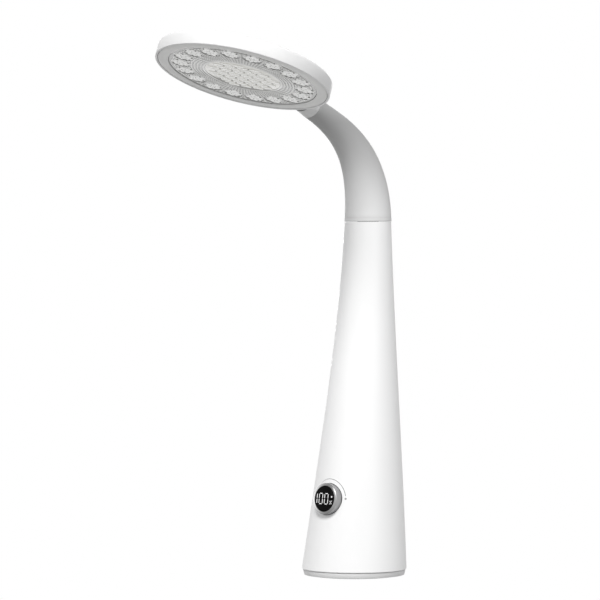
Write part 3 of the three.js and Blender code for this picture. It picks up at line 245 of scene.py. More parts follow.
# The stage: a pale floor under soft studio lamps, seen from the front left at table height.
# The floor and the backdrop are not part of the lamp.
CAMERA_AZIMUTH = math.radians(41.94)
CAMERA_ELEVATION = math.radians(1.05)
CAMERA_UNIT = 0.8 * MM
CAMERA_BACK = 3473 * CAMERA_UNIT
CAMERA_ACROSS = -54.27 * CAMERA_UNIT
CAMERA_UP = 274.58 * CAMERA_UNIT
SENSOR_WIDTH = 36
FRAME_WIDTH = 600
FLOOR_SIZE, FLOOR_SHADE, WORLD_LEVEL = 12, 0.42, 0.43
# Each lamp's place, what it aims at, its width and its power.
LAMPS = {"high_lamp": ((0.9, -1.6, 2.2), (0, 0, 0.2), 0.9, 60),
         "right_lamp": ((2, -0.4, 0.8), (0, 0, 0.3), 0.8, 6.2),
         "left_lamp": ((-0.6, -1.8, 0.9), (0, 0, 0.2), 0.8, 2.3),
         "back_lamp": ((-1.5, 1.6, 0.5), (0, 0, 0.2), 1, 17)}


def add_camera():
    right = Vector((math.cos(CAMERA_AZIMUTH), math.sin(CAMERA_AZIMUTH), 0))
    level = Vector((math.sin(CAMERA_AZIMUTH), -math.cos(CAMERA_AZIMUTH), 0))
    back = level * math.cos(CAMERA_ELEVATION) + Vector((0, 0, math.sin(CAMERA_ELEVATION)))
    up = back.cross(right)
    camera = linked("camera", bpy.data.cameras.new("camera"))
    camera.data.sensor_width = SENSOR_WIDTH
    camera.data.lens = SENSOR_WIDTH * CAMERA_BACK / CAMERA_UNIT / FRAME_WIDTH
    camera.data.clip_end = 4 * FLOOR_SIZE
    place = back * CAMERA_BACK + right * CAMERA_ACROSS + up * CAMERA_UP
    camera.matrix_world = Matrix.Translation(place) @ Matrix((right, up, back)).transposed().to_4x4()
    bpy.context.scene.camera = camera


def add_lamp(name, place, aim, size, power):
    lamp = linked(name, bpy.data.lights.new(name, "AREA"))
    lamp.data.shape = "DISK"
    lamp.data.size = size
    lamp.data.energy = power
    turned = (Vector(aim) - Vector(place)).to_track_quat("-Z", "Y")
    lamp.matrix_world = Matrix.Translation(place) @ turned.to_matrix().to_4x4()


def seen_or_mirrored(tree):
    """1 for what the camera, a mirror or glass sees, and 0 for the light that falls on the lamp."""
    path = node(tree, "LightPath").outputs
    return calc(tree, "MAXIMUM", path["Is Camera Ray"], path["Is Glossy Ray"], path["Is Transmission Ray"])


def add_world():
    world = bpy.data.worlds.new("studio")
    world.use_nodes = True
    tree = world.node_tree
    strength = node(tree, "Mix", {"Factor": seen_or_mirrored(tree), "A": WORLD_LEVEL, "B": 1})
    fill(tree, tree.nodes["Background"], {"Color": WHITE, "Strength": strength.outputs["Result"]})
    bpy.context.scene.world = world


def add_floor():
    bm = bmesh.new()
    bmesh.ops.create_grid(bm, x_segments=1, y_segments=1, size=FLOOR_SIZE)
    floor = as_object(bm, "floor")
    look, tree, shader = new_look("pale_floor", Base_Color=(*grey(FLOOR_SHADE), 1), Roughness=0.9,
                                  Specular_IOR_Level=0)
    bright = node(tree, "Emission", {"Color": WHITE})
    mixed = node(tree, "MixShader", {0: seen_or_mirrored(tree), 1: shader.outputs[0], 2: bright.outputs[0]})
    fill(tree, tree.nodes["Material Output"], {"Surface": mixed.outputs[0]})
    floor.data.materials.append(look)


bpy.context.scene.view_settings.view_transform = "Standard"
add_camera()
add_world()
add_floor()
for lamp_name, settings in LAMPS.items():
    add_lamp(lamp_name, *settings)

# Skins: the fine grain of moulded plastic and rubber, and the drawn lines of metal. A metal's noise is fine
# across its lines and coarse along them.
SKIN_GRAIN, SKIN_HEIGHT, SKIN_CLOUD, SKIN_DRIFT = 900, 0.02 * MM, 22, 0.02
LINE_DEPTH, LINE_SHADE, LINE_GLOSS = 0.01 * MM, 0.9, 0.15
ROLLED_FLAT, DRAWN_UP = (60, 60, 900), (900, 900, 90)
DRAWN_ACROSS, DRAWN_DEEP = (90, 900, 900), (900, 60, 900)
SKIN_OUTPUTS = {"Colour": "Color", "Roughness": "Float", "Normal": "Vector"}


def group_of(name, inputs):
    """A node group with these inputs and a skin's outputs; returns it, what it is given and its end."""
    tree = bpy.data.node_groups.new(name, "ShaderNodeTree")
    for way, sockets in (("INPUT", inputs), ("OUTPUT", SKIN_OUTPUTS)):
        for label, kind in sockets.items():
            tree.interface.new_socket(label, in_out=way, socket_type="NodeSocket" + kind)
    return tree, tree.nodes.new("NodeGroupInput").outputs, tree.nodes.new("NodeGroupOutput")


def skin_group():
    """Grain of a moulded or cast surface: slight drift in shade and gloss, and a fine bump."""
    inputs = {"Colour": "Color", "Drift": "Float", "Roughness": "Float", "Grain scale": "Float",
              "Grain height": "Float"}
    tree, given, end = group_of("moulded_skin", inputs)
    where = node(tree, "TexCoord").outputs["Object"]
    cloud = node(tree, "TexNoise", {"Vector": where, "Scale": SKIN_CLOUD})
    grain = node(tree, "TexNoise", {"Vector": where, "Scale": given["Grain scale"], "Detail": 3})
    swing = calc(tree, "MULTIPLY", calc(tree, "SUBTRACT", cloud.outputs[0], 0.5), given["Drift"])
    shade = node(tree, "HueSaturation", {"Color": given["Colour"], "Value": calc(tree, "ADD", swing, 1)})
    bump = node(tree, "Bump", {"Distance": given["Grain height"], "Height": grain.outputs[0]})
    fill(tree, end, {"Colour": shade.outputs[0], "Normal": bump.outputs[0],
                     "Roughness": calc(tree, "ADD", given["Roughness"], swing)})
    return tree


def line_group():
    """Fine drawn lines along one axis of a metal surface."""
    inputs = {"Colour": "Color", "Roughness": "Float", "Stretch": "Vector"}
    tree, given, end = group_of("drawn_lines", inputs)
    where = node(tree, "TexCoord").outputs["Object"]
    scaled = node(tree, "VectorMath", {0: where, 1: given["Stretch"]}, operation="MULTIPLY")
    lines = node(tree, "TexNoise", {"Vector": scaled.outputs[0], "Scale": 1}).outputs[0]
    value = node(tree, "MapRange", {"Value": lines, "To Min": LINE_SHADE})
    shade = node(tree, "HueSaturation", {"Color": given["Colour"], "Value": value.outputs[0]})
    bump = node(tree, "Bump", {"Distance": LINE_DEPTH, "Height": lines})
    rough = calc(tree, "ADD", given["Roughness"], calc(tree, "MULTIPLY", lines, LINE_GLOSS))
    fill(tree, end, {"Colour": shade.outputs[0], "Roughness": rough, "Normal": bump.outputs[0]})
    return tree


moulded_skin, drawn_lines = skin_group(), line_group()


def group_look(name, group, inputs, **sockets):
    """A material whose colour, roughness and bump come from a node group with these inputs."""
    look, tree, shader = new_look(name, **sockets)
    given = node(tree, "Group", inputs, node_tree=group).outputs
    fill(tree, shader, {"Base Color": given["Colour"], "Roughness": given["Roughness"],
                        "Normal": given["Normal"]})
    return look


def skin_look(name, colour, roughness, drift=SKIN_DRIFT, grain=SKIN_GRAIN, height=SKIN_HEIGHT, **sockets):
    inputs = {"Colour": (*colour, 1), "Drift": drift, "Roughness": roughness, "Grain scale": grain,
              "Grain height": height}
    return group_look(name, moulded_skin, inputs, **sockets)


def metal_look(name, colour, stretch, roughness):
    inputs = {"Colour": (*colour, 1), "Roughness": roughness, "Stretch": stretch}
    return group_look(name, drawn_lines, inputs, Metallic=1)


def axes_in(tree, place):
    """X, Y and Z of the shaded point in the frame that place gives."""
    where = node(tree, "TexCoord").outputs["Object"]
    turned = node(tree, "Mapping", {"Vector": where, "Location": place.to_translation(),
                                              "Rotation": place.to_euler()}, vector_type="TEXTURE")
    return node(tree, "SeparateXYZ", {0: turned.outputs[0]}).outputs


def tint(look, factor, plain, other):
    """Colours a moulded skin from plain, where factor is 0, to other, where it is 1."""
    tree = look.node_tree
    mixed = node(tree, "Mix", {"Factor": factor, "A": (*plain, 1), "B": (*other, 1)}, data_type="RGBA")
    skin = next(item for item in tree.nodes if item.type == "GROUP")
    fill(tree, skin, {"Colour": mixed.outputs["Result"]})


def dress(made, look, body, slot, *nodes):
    """Gives a piece its material and body, and hides the model's nodes that it stands for; its slot is not
    used.
    """
    made.data.materials.clear()
    made.data.materials.append(look)
    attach(made, body)
    if nodes:
        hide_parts(*nodes)
    return made


def finish(look, *names):
    """Gives nodes that keep the model's form their look."""
    for name in names:
        for material_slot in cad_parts[name].material_slots:
            material_slot.material = look


def numbered(name, count):
    return [f"{name}_{index + 1}" for index in range(count)]


# Body shell: one white moulded cone that leans back as it rises, with a pocket for the knob, a hub hole
# behind it and a slot for the charging socket. A thin grey arc and a dot are printed round the knob.
EDGE_HEIGHT, EDGE_RADIUS, EDGE_CHAMFER = mm(4.9, 41.8, 0.6)
TOP_HEIGHT, TOP_RADIUS, TOP_SHIFT, TOP_CHAMFER = mm(282.25, 18.6, 16.6, 0.24)
SHIFT_AND_TAPER_SHARES = ((0, 0), (0.48, 0.358), (0.895, 0.828), (1, 1))
SHELL_WALL, TOP_WEB = mm(2.2, 3)
NECK_HOLE_RADIUS = 8.9 * MM
SHELL_RINGS, SHELL_SIDES = 64, 144
KNOB_RADIUS, KNOB_GAP = mm(12.5, 0.4)
POCKET_DEPTH, POCKET_WALL = mm(9, 1.8)
HUB_HOLE_RADIUS = 6.6 * MM
KNOB_PLACE, KNOB_TILT = Vector((0, -36.1996, 62.8402)) * MM, math.radians(82)
PORT_HEIGHT, PORT_WIDTH, PORT_TALL = mm(21.5, 9.6, 3.8)
PORT_CUT_FRONT, PORT_CUT_BACK = mm(30, 50)
ARC_RADIUS, ARC_ACROSS_SHARE, ARC_HALF_LINE = 16.2 * MM, 0.95, 0.28 * MM
ARC_START, ARC_END, ARC_FADE = math.radians(12), math.radians(150), math.radians(60)
DOT_RADIUS, DOT_UP = mm(0.85, 1.3)
SHELL_WHITE, SHELL_ROUGHNESS, INK_GREY = grey(0.86), 0.42, grey(0.3)

knob_frame = Matrix.Translation(KNOB_PLACE) @ Matrix.Rotation(KNOB_TILT, 4, "X")


def body_ring(height, centre_back, radius):
    return round_place(Vector((0, centre_back, height)), Vector((1, 0, 0)), Vector((0, 1, 0)), radius)


def shell_rings(inset, low, high):
    """Rings from foot to top, evenly spaced in height, on the curve that gives their shift and taper."""
    handles = [Vector((*shares, 0)) for shares in SHIFT_AND_TAPER_SHARES]
    rings = []
    for step, share in enumerate(interpolate_bezier(*handles, SHELL_RINGS + 1)):
        height = low + (high - low) * step / SHELL_RINGS
        radius = EDGE_RADIUS + (TOP_RADIUS - EDGE_RADIUS) * share.y - inset
        rings.append(body_ring(height, TOP_SHIFT * share.x, radius))
    return rings


def printed_look():
    """The white shell with a thin grey arc that fades out round the knob, and a dot beside it."""
    look = skin_look("white_shell_printed", SHELL_WHITE, SHELL_ROUGHNESS)
    tree = look.node_tree
    side, up, out = axes_in(tree, knob_frame)
    across = calc(tree, "DIVIDE", side, ARC_ACROSS_SHARE)
    angle = calc(tree, "ARCTAN2", up, across)
    off_line = calc(tree, "SUBTRACT", distance(tree, across, up), ARC_RADIUS)
    line = calc(tree, "LESS_THAN", calc(tree, "ABSOLUTE", off_line), ARC_HALF_LINE)
    begins = calc(tree, "GREATER_THAN", angle, ARC_START)
    fade = calc(tree, "DIVIDE", calc(tree, "SUBTRACT", ARC_END, angle), ARC_FADE, clamp=True)
    arc = calc(tree, "MULTIPLY", line, begins, fade)
    from_dot = distance(tree, calc(tree, "SUBTRACT", across, ARC_RADIUS), calc(tree, "SUBTRACT", up, DOT_UP))
    dot = calc(tree, "LESS_THAN", from_dot, DOT_RADIUS)
    in_front = calc(tree, "GREATER_THAN", out, -KNOB_RADIUS)
    tint(look, calc(tree, "MULTIPLY", calc(tree, "MAXIMUM", arc, dot), in_front), SHELL_WHITE, INK_GREY)
    return look


def add_shell():
    outer = shell_rings(0, EDGE_HEIGHT + EDGE_CHAMFER, TOP_HEIGHT - TOP_CHAMFER)
    inner = shell_rings(SHELL_WALL, EDGE_HEIGHT, TOP_HEIGHT - TOP_WEB)
    bottom = body_ring(EDGE_HEIGHT, 0, EDGE_RADIUS - EDGE_CHAMFER)
    top = [body_ring(TOP_HEIGHT, TOP_SHIFT, TOP_RADIUS - TOP_CHAMFER),
           body_ring(TOP_HEIGHT, TOP_SHIFT, NECK_HOLE_RADIUS),
           body_ring(TOP_HEIGHT - TOP_WEB, TOP_SHIFT, NECK_HOLE_RADIUS)]
    rings = [bottom, *outer, *top, *reversed(inner)]
    shell = as_object(swept(rings, SHELL_SIDES, closed=True), "body_shell_skin")
    back = -(POCKET_DEPTH + POCKET_WALL)
    pocket_radius = KNOB_RADIUS + KNOB_GAP
    cup = as_object(upright_rod(pocket_radius + POCKET_WALL, back, KNOB_RADIUS, knob_frame), "cup")
    combine(cup, swept([bottom, *outer], SHELL_SIDES), "INTERSECT")
    combine(shell, cup, "UNION")
    combine(shell, upright_rod(pocket_radius, -POCKET_DEPTH, KNOB_RADIUS, knob_frame))
    combine(shell, upright_rod(HUB_HOLE_RADIUS, 2 * back, 0, knob_frame))
    combine(shell, slot_bar(PORT_WIDTH, PORT_TALL, PORT_CUT_FRONT, PORT_CUT_BACK, PORT_HEIGHT))
    dress(shell, printed_look(), "base", "white_plastic", "body_shell")


add_shell()

# Foot: a pale ring that closes the shell from below and stands a little inside its edge, and a soft
# rubber pad pressed into its underside. The pad hides the screws; three grooves give it grip.
COVER_PALE, RUBBER_BLACK = grey(0.76), (0.03, 0.03, 0.032)
COVER_LOW, COVER_HIGH, COVER_SPIGOT_TOP = mm(0.5, 4.6, 9)
COVER_LOW_RADIUS, COVER_HIGH_RADIUS = mm(40, 41)
COVER_SPIGOT, COVER_WALL, COVER_ROUND = mm(38.2, 2, 0.25)
PAD_RADIUS, PAD_THICKNESS, PAD_GAP = mm(36.5, 2, 0.3)
PAD_ROUND, PAD_GRAIN, PAD_GRAIN_HEIGHT = 0.2 * MM, 1500, 0.05 * MM
GROOVES, GROOVE_WIDTH, GROOVE_DEPTH = mm(12, 21, 30), 1.2 * MM, 0.5 * MM


def add_cover():
    floor, inner = PAD_THICKNESS + PAD_GAP, PAD_RADIUS + PAD_GAP
    spigot = COVER_SPIGOT - COVER_WALL
    ring = lathe([(0, floor), (inner, floor), (inner, COVER_LOW), (COVER_LOW_RADIUS, COVER_LOW),
                  (COVER_HIGH_RADIUS, COVER_HIGH), (COVER_SPIGOT, COVER_HIGH),
                  (COVER_SPIGOT, COVER_SPIGOT_TOP), (spigot, COVER_SPIGOT_TOP), (spigot, COVER_HIGH),
                  (0, COVER_HIGH)])
    look = skin_look("pale_cover", COVER_PALE, roughness=0.5, drift=0.04)
    dress(as_object(soften(ring, COVER_ROUND), "foot_cover"), look, "base", "pale_plastic", "base_cover")


def add_pad():
    profile = [(0, 0)]
    for middle in GROOVES:
        low, high = middle - GROOVE_WIDTH / 2, middle + GROOVE_WIDTH / 2
        profile += [(low, 0), (low, GROOVE_DEPTH), (high, GROOVE_DEPTH), (high, 0)]
    profile += [(PAD_RADIUS, 0), (PAD_RADIUS, PAD_THICKNESS), (0, PAD_THICKNESS)]
    pad = as_object(soften(lathe(profile), PAD_ROUND), "foot_pad_rubber")
    rubber = skin_look("pad_rubber", RUBBER_BLACK, roughness=0.75, grain=PAD_GRAIN, height=PAD_GRAIN_HEIGHT)
    dress(pad, rubber, "base", "dark_rubber", "foot_pad")


add_cover()
add_pad()

# Inside the body: ballast plate, frame, cells, boards, the knob's encoder and switch, and their screws.
# They are pressed, moulded or bought in, and nothing of them shows once the lamp is closed.
MAIN_BOARD_FACE = 14.4 * MM
BOARD_DRIFT, BOARD_GRAIN, BOARD_GRAIN_HEIGHT = 0.1, 400, 0.03 * MM
STEEL, ZINC = grey(0.5), (0.62, 0.63, 0.64)
GREEN, BLACK, DARK = (0.012, 0.1, 0.045), grey(0.02), (0.022, 0.023, 0.025)
WRAP_BLUE, MODULE_WHITE = (0.05, 0.19, 0.42), (0.7, 0.7, 0.68)


def chip_board_look():
    """The main board: green, with black parts that stand out from its front face."""
    look = skin_look("main_board_green", GREEN, roughness=0.35, drift=BOARD_DRIFT, grain=BOARD_GRAIN,
                     height=BOARD_GRAIN_HEIGHT)
    face = Matrix.Translation((0, MAIN_BOARD_FACE, 0)) @ Matrix.Rotation(-math.pi / 2, 4, "X")
    across, up, out = axes_in(look.node_tree, face)
    tint(look, calc(look.node_tree, "LESS_THAN", out, 0), GREEN, BLACK)
    return look


dark_plastic = skin_look("dark_plastic", DARK, roughness=0.5)
steel_look = metal_look("pressed_steel", STEEL, ROLLED_FLAT, roughness=0.32)
screw_look = metal_look("plated_screw", ZINC, DRAWN_UP, roughness=0.28)
finish(steel_look, "ballast_plate", "retaining_clip")
finish(dark_plastic, "inner_frame", "battery_strap", "ring_encoder", "press_switch", "knob_core")
finish(screw_look, *numbered("closing_screw", 4), *numbered("frame_screw", 2), *numbered("board_screw", 2),
       *numbered("control_screw", 2))
finish(skin_look("cell_wrap", WRAP_BLUE, roughness=0.3, drift=0.03), *numbered("battery_cell", 2))
finish(chip_board_look(), "main_board")
finish(skin_look("board_green", GREEN, roughness=0.35, drift=BOARD_DRIFT), "charge_board", "control_board")
finish(skin_look("display_white", MODULE_WHITE, roughness=0.4), "display_module")

# Charging socket: a drawn steel shell with round sides round a plastic tongue that carries gilt contacts.
# It is soldered to the charging board and looks out of the slot low at the back of the body.
SOCKET_WIDTH, SOCKET_TALL, SOCKET_WALL = mm(9, 3.2, 0.3)
TONGUE_WIDTH, TONGUE_TALL, TONGUE_ROUND = mm(6.6, 0.7, 0.12)
CONTACTS, CONTACT_PITCH, CONTACT_WIDTH, CONTACT_LENGTH = 12, 0.5 * MM, 0.28 * MM, 4 * MM
CONTACT_THICKNESS = 0.08 * MM
GILT = (0.85, 0.62, 0.25)


def add_socket():
    low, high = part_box("usb_c_socket")
    front, back, middle = low[1], high[1], (low[2] + high[2]) / 2
    can = as_object(slot_bar(SOCKET_WIDTH, SOCKET_TALL, front, back, middle), "charging_socket")
    combine(can, slot_bar(SOCKET_WIDTH - 2 * SOCKET_WALL, SOCKET_TALL - 2 * SOCKET_WALL,
                          front + 2 * SOCKET_WALL, back + SOCKET_WALL, middle))
    steel = metal_look("socket_steel", ZINC, DRAWN_ACROSS, roughness=0.25)
    dress(can, steel, "base", "bright_screw", "usb_c_socket")
    half, thick, tongue_end = TONGUE_WIDTH / 2, TONGUE_TALL / 2, back - TONGUE_TALL
    tongue = box((-half, front + SOCKET_WALL, middle - thick), (half, tongue_end, middle + thick))
    dress(as_object(soften(tongue, TONGUE_ROUND), "socket_tongue"), dark_plastic, "base", "dark_plastic")
    contacts = bmesh.new()
    y = tongue_end - CONTACT_LENGTH / 2 - TONGUE_TALL
    for index in range(CONTACTS):
        x = (index - (CONTACTS - 1) / 2) * CONTACT_PITCH
        for side in (-1, 1):
            spot = Matrix.Translation((x, y, middle + side * thick))
            add_block(contacts, spot, CONTACT_WIDTH, CONTACT_LENGTH, CONTACT_THICKNESS)
    gilt = metal_look("gilt", GILT, DRAWN_DEEP, roughness=0.25)
    dress(as_object(contacts, "socket_contacts"), gilt, "base", "bright_screw")


add_socket()

# Knob ring: turned aluminium with a bevelled lip, whose hub runs through the pocket's floor to the encoder.
# It turns round the display for brightness and presses in with it.
HUB_BORE, HUB_RADIUS, HUB_END = mm(4.9, 6.2, 15.2)
KNOB_DEPTH, KNOB_WEB, KNOB_LIP, KNOB_BEVEL = mm(7.4, 1.6, 2.1, 0.8)
KNOB_ROUND, KNOB_ROUND_TURN = 0.15 * MM, math.radians(30)
TURNED_GREY, TURNED_SCALE, TURNED_DEPTH = (0.38, 0.38, 0.385), 2400, 0.02 * MM
TURNED_LIGHT_SHARES, TURNED_ROUGH_SHARES, LIP_PAINTED_GLINT_SHARES = (0.6, 1.35), (0.2, 0.3), (0.35, 0.25, 0.25)


def turned_look():
    """Grey metal with fine rings from the lathe; the lip's colour carries a painted highlight, brightest at
    its left and fainter at its right.
    """
    look, tree, shader = new_look("turned_aluminium", Metallic=0.85)
    across, up, out = axes_in(tree, knob_frame)
    reach = distance(tree, across, up)
    flat = node(tree, "CombineXYZ", {"X": calc(tree, "MULTIPLY", reach, TURNED_SCALE),
                                               "Y": calc(tree, "MULTIPLY", out, TURNED_SCALE)})
    rings = node(tree, "TexNoise", {"Vector": flat.outputs[0], "Scale": 1, "Detail": 4}).outputs[0]
    dark, light = TURNED_LIGHT_SHARES
    shade = node(tree, "MapRange", {"Value": rings, "To Min": dark, "To Max": light})
    colour = node(tree, "HueSaturation", {"Color": (*TURNED_GREY, 1), "Value": shade.outputs[0]})
    side = calc(tree, "DIVIDE", across, reach)
    # Painted highlight: the lip is lightened by its angle round the knob, in place of the reflection of the
    # lamps.
    even, uneven, least = LIP_PAINTED_GLINT_SHARES
    left = calc(tree, "SUBTRACT", least, calc(tree, "MULTIPLY", side, uneven))
    painted_glint = calc(tree, "ADD", calc(tree, "MULTIPLY", side, side, even), left)
    on_lip = calc(tree, "GREATER_THAN", out, -KNOB_BEVEL)
    lip = node(tree, "Mix", {"Factor": on_lip, "A": colour.outputs[0], "B": painted_glint}, data_type="RGBA")
    uneven, least = TURNED_ROUGH_SHARES
    rough = calc(tree, "ADD", calc(tree, "MULTIPLY", rings, uneven), least)
    bump = node(tree, "Bump", {"Distance": TURNED_DEPTH, "Height": rings})
    fill(tree, shader, {"Base Color": lip.outputs["Result"], "Roughness": rough, "Normal": bump.outputs[0]})
    return look


def add_ring():
    bore, web = KNOB_RADIUS - KNOB_LIP, KNOB_DEPTH - KNOB_WEB
    profile = [(HUB_BORE, -HUB_END), (HUB_RADIUS, -HUB_END), (HUB_RADIUS, -KNOB_DEPTH),
               (KNOB_RADIUS, -KNOB_DEPTH), (KNOB_RADIUS, -KNOB_BEVEL), (KNOB_RADIUS - KNOB_BEVEL, 0),
               (bore, 0), (bore, -web), (HUB_BORE, -web)]
    turned = soften(lathe(profile, place=knob_frame), KNOB_ROUND, angle=KNOB_ROUND_TURN)
    dress(as_object(turned, "knob_ring_turned"), turned_look(), "turn_ring", "turned_metal", "knob_ring")


add_ring()

# Wave spring: a flat steel ring with three waves behind the knob. On the lamp it flattens towards the
# pocket's floor as the knob is pressed; here it is fixed to the base in its rest shape.
SPRING_WIDTH, SPRING_HEIGHT, SPRING_THICKNESS = mm(2.2, 1, 0.3)
SPRING_WAVES, SPRING_STEPS, SPRING_KEEP_SHARE = 3, 72, 0.7


def add_spring():
    middle, swing = -(KNOB_DEPTH + POCKET_DEPTH) / 2, (SPRING_HEIGHT - SPRING_THICKNESS) / 2
    inner, outer, half = HUB_HOLE_RADIUS, HUB_HOLE_RADIUS + SPRING_WIDTH, SPRING_THICKNESS / 2
    bm = bmesh.new()
    rows = []
    for step in range(SPRING_STEPS):
        angle = math.tau * step / SPRING_STEPS
        height = middle + swing * math.cos(SPRING_WAVES * angle)
        place = knob_frame @ Matrix.Rotation(angle, 4, "Z")
        corners = ((inner, -half), (inner, half), (outer, half), (outer, -half))
        rows.append([bm.verts.new(place @ Vector((radius, 0, height + level))) for radius, level in corners])
    for row, after in zip(rows, rows[1:] + rows[:1]):
        for index in range(len(row)):
            bm.faces.new((row[index - 1], row[index], after[index], after[index - 1]))
    bmesh.ops.recalc_face_normals(bm, faces=bm.faces)
    spring = dress(as_object(bm, "wave_spring_ring"), steel_look, "base", "steel", "wave_spring")
    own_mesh(spring)


add_spring()

# Display: a black gloss window flush in the ring, with white seven-segment figures shining through it.
# The figures are generic; they sit a hair above the window so that they show from every side.
WINDOW_RADIUS, WINDOW_TOP, WINDOW_THICKNESS, WINDOW_ROUND = mm(10, 0.25, 1.15, 0.25)
WINDOW_BLACK, FIGURE_LIGHT = grey(0.002), grey(0.4)
FIGURE_THICKNESS, BAR_ROUND_SHARE, BAR_STEPS, MARK_SIDES = 0.04 * MM, 0.45, 3, 20
FIGURE_HEIGHT, FIGURE_WIDTH, STROKE = mm(8.9, 4.1, 0.62)
FIGURE_GAP, FIGURE_CORNER = mm(0.3, 0.45)
FIGURE_PLACES = (("1", -7.8 * MM), ("0", -3.8 * MM), ("0", 1.8 * MM))
FIGURE_SEGMENTS = {"0": "abcdef", "1": "bc"}
SIGN_PLACE, SIGN_HEIGHT, SIGN_WIDTH, SIGN_STROKE = mm(6.7, -2.7), 3 * MM, 2.2 * MM, 0.42 * MM
SIGN_DOT_SHARE = 0.6
MARK_PLACE, MARK_RADIUS = mm(7.3, 1.8), 0.7 * MM


def add_bar(bm, start, end, thick):
    """A flat bar with round ends between two points of the display."""
    start, end = Vector(start), Vector(end)
    along = end - start
    turned = Matrix.Rotation(math.atan2(along.y, along.x), 4, "Z")
    middle = Matrix.Translation((*(start + end) / 2, -WINDOW_TOP))
    verts = add_block(bm, middle @ turned, along.length, thick, FIGURE_THICKNESS)
    upright = [edge for edge in {e for v in verts for e in v.link_edges}
               if abs((edge.verts[0].co - edge.verts[1].co).z) > FIGURE_THICKNESS / 2]
    bmesh.ops.bevel(bm, geom=upright, offset=BAR_ROUND_SHARE * thick, affect="EDGES", segments=BAR_STEPS,
                    profile=0.5, material=-1)


def add_figure(bm, figure, x):
    right, top = FIGURE_WIDTH / 2 - STROKE / 2, FIGURE_HEIGHT / 2 - STROKE / 2
    half = right if figure == "0" else 0
    side, rise = half - FIGURE_CORNER, top - FIGURE_CORNER
    ends = {"a": ((-side, top), (side, top)), "d": ((-side, -top), (side, -top)),
            "b": ((half, FIGURE_GAP), (half, rise)), "c": ((half, -rise), (half, -FIGURE_GAP)),
            "f": ((-half, FIGURE_GAP), (-half, rise)), "e": ((-half, -rise), (-half, -FIGURE_GAP))}
    for segment in FIGURE_SEGMENTS[figure]:
        add_bar(bm, *[(x + px, y) for px, y in ends[segment]], STROKE)


def add_window():
    profile = [(0, -WINDOW_TOP - WINDOW_THICKNESS), (WINDOW_RADIUS, -WINDOW_TOP - WINDOW_THICKNESS),
               (WINDOW_RADIUS, -WINDOW_TOP), (0, -WINDOW_TOP)]
    window = as_object(soften(lathe(profile, place=knob_frame), WINDOW_ROUND), "display_window")
    gloss = skin_look("black_window", WINDOW_BLACK, roughness=0.1, height=0, Specular_IOR_Level=0.05)
    dress(window, gloss, "press_knob", "black_gloss", "display_lens")


def add_figures():
    bm = bmesh.new()
    for figure, x in FIGURE_PLACES:
        add_figure(bm, figure, x)
    x, y = SIGN_PLACE
    high, wide = SIGN_HEIGHT / 2, SIGN_WIDTH / 2
    add_bar(bm, (x - wide, y - high), (x + wide, y + high), SIGN_STROKE)
    aside, above = SIGN_DOT_SHARE * wide, SIGN_DOT_SHARE * high
    for spot, radius in (((x - aside, y + above), SIGN_STROKE), ((x + aside, y - above), SIGN_STROKE),
                         (MARK_PLACE, MARK_RADIUS)):
        place = Matrix.Translation((*spot, -WINDOW_TOP))
        add_rod(bm, radius, -FIGURE_THICKNESS / 2, FIGURE_THICKNESS / 2, place, MARK_SIDES)
    bmesh.ops.transform(bm, matrix=knob_frame, verts=bm.verts)
    lit = skin_look("lit_figures", FIGURE_LIGHT, roughness=0.5, Emission_Color=WHITE, Emission_Strength=0.55)
    dress(as_object(bm, "display_figures"), lit, "press_knob", "black_gloss")


add_window()
add_figures()

# Neck: a bending hose of ribbed steel stretches in a coned anchor, with the lead to the head inside it.
# All of it is hidden in the silicone sleeve. The hose and its fittings keep the form of the model.
NECK_FOOT, NECK_END = Vector((0, 16.6, 282.4)) * MM, Vector((0, -57.8, 375.2)) * MM
NECK_FOOT_LEAN, NECK_FOOT_PULL = math.radians(-1.61), 63.8 * MM
NECK_END_LEAN, NECK_END_PULL = math.radians(63.7), 33.8 * MM
SEAM_EASE = 12 * MM
LINE_STEPS = 400
HINGES = mm(28, 47.5, 67, 86.5, 106)
LEAD_RADIUS, LEAD_START, LEAD_END, LEAD_PITCH = mm(1.2, -11.2, 123, 1.5)
LEAD_WHITE, LEAD_SIDES = (0.75, 0.75, 0.74), 20


def leaning(angle):
    return Vector((0, -math.sin(angle), math.cos(angle)))


def measured_line():
    """Points of the neck's centre line, each with its length from the body and its share of the curve."""
    points = interpolate_bezier(NECK_FOOT, NECK_FOOT + leaning(NECK_FOOT_LEAN) * NECK_FOOT_PULL,
                                NECK_END - leaning(NECK_END_LEAN) * NECK_END_PULL, NECK_END, LINE_STEPS + 1)
    line, length = [(0, points[0], 0)], 0
    for step, point in enumerate(points[1:], 1):
        length += (point - points[step - 1]).length
        line.append((length, point, step / LINE_STEPS))
    return line


neck_line = measured_line()
neck_length = neck_line[-1][0]


def neck_at(length):
    """Centre, lean and share of the curve at a length; the line runs on straight past both ends."""
    if length <= 0:
        return NECK_FOOT + Vector((0, 0, length)), 0, 0
    if length >= neck_length:
        return NECK_END + leaning(NECK_END_LEAN) * (length - neck_length), NECK_END_LEAN, 1
    step = next(index for index, entry in enumerate(neck_line) if entry[0] >= length)
    (before, start, low), (after, end, high) = neck_line[step - 1], neck_line[step]
    way = (length - before) / (after - before)
    along = end - start
    lean = math.atan2(-along.y, along.z) * min(1, length / SEAM_EASE)
    return start.lerp(end, way), lean, low + (high - low) * way


def neck_ring(length, radius):
    centre, lean, share = neck_at(length)
    return round_place(centre, Vector((1, 0, 0)), Vector((0, math.cos(lean), math.sin(lean))), radius)


def stretches(low, high):
    """Start and end of the stretch round each hinge; stretches meet halfway between two hinges."""
    halfway = [(before + after) / 2 for before, after in zip(HINGES, HINGES[1:])]
    return list(zip([low, *halfway], [*halfway, high]))


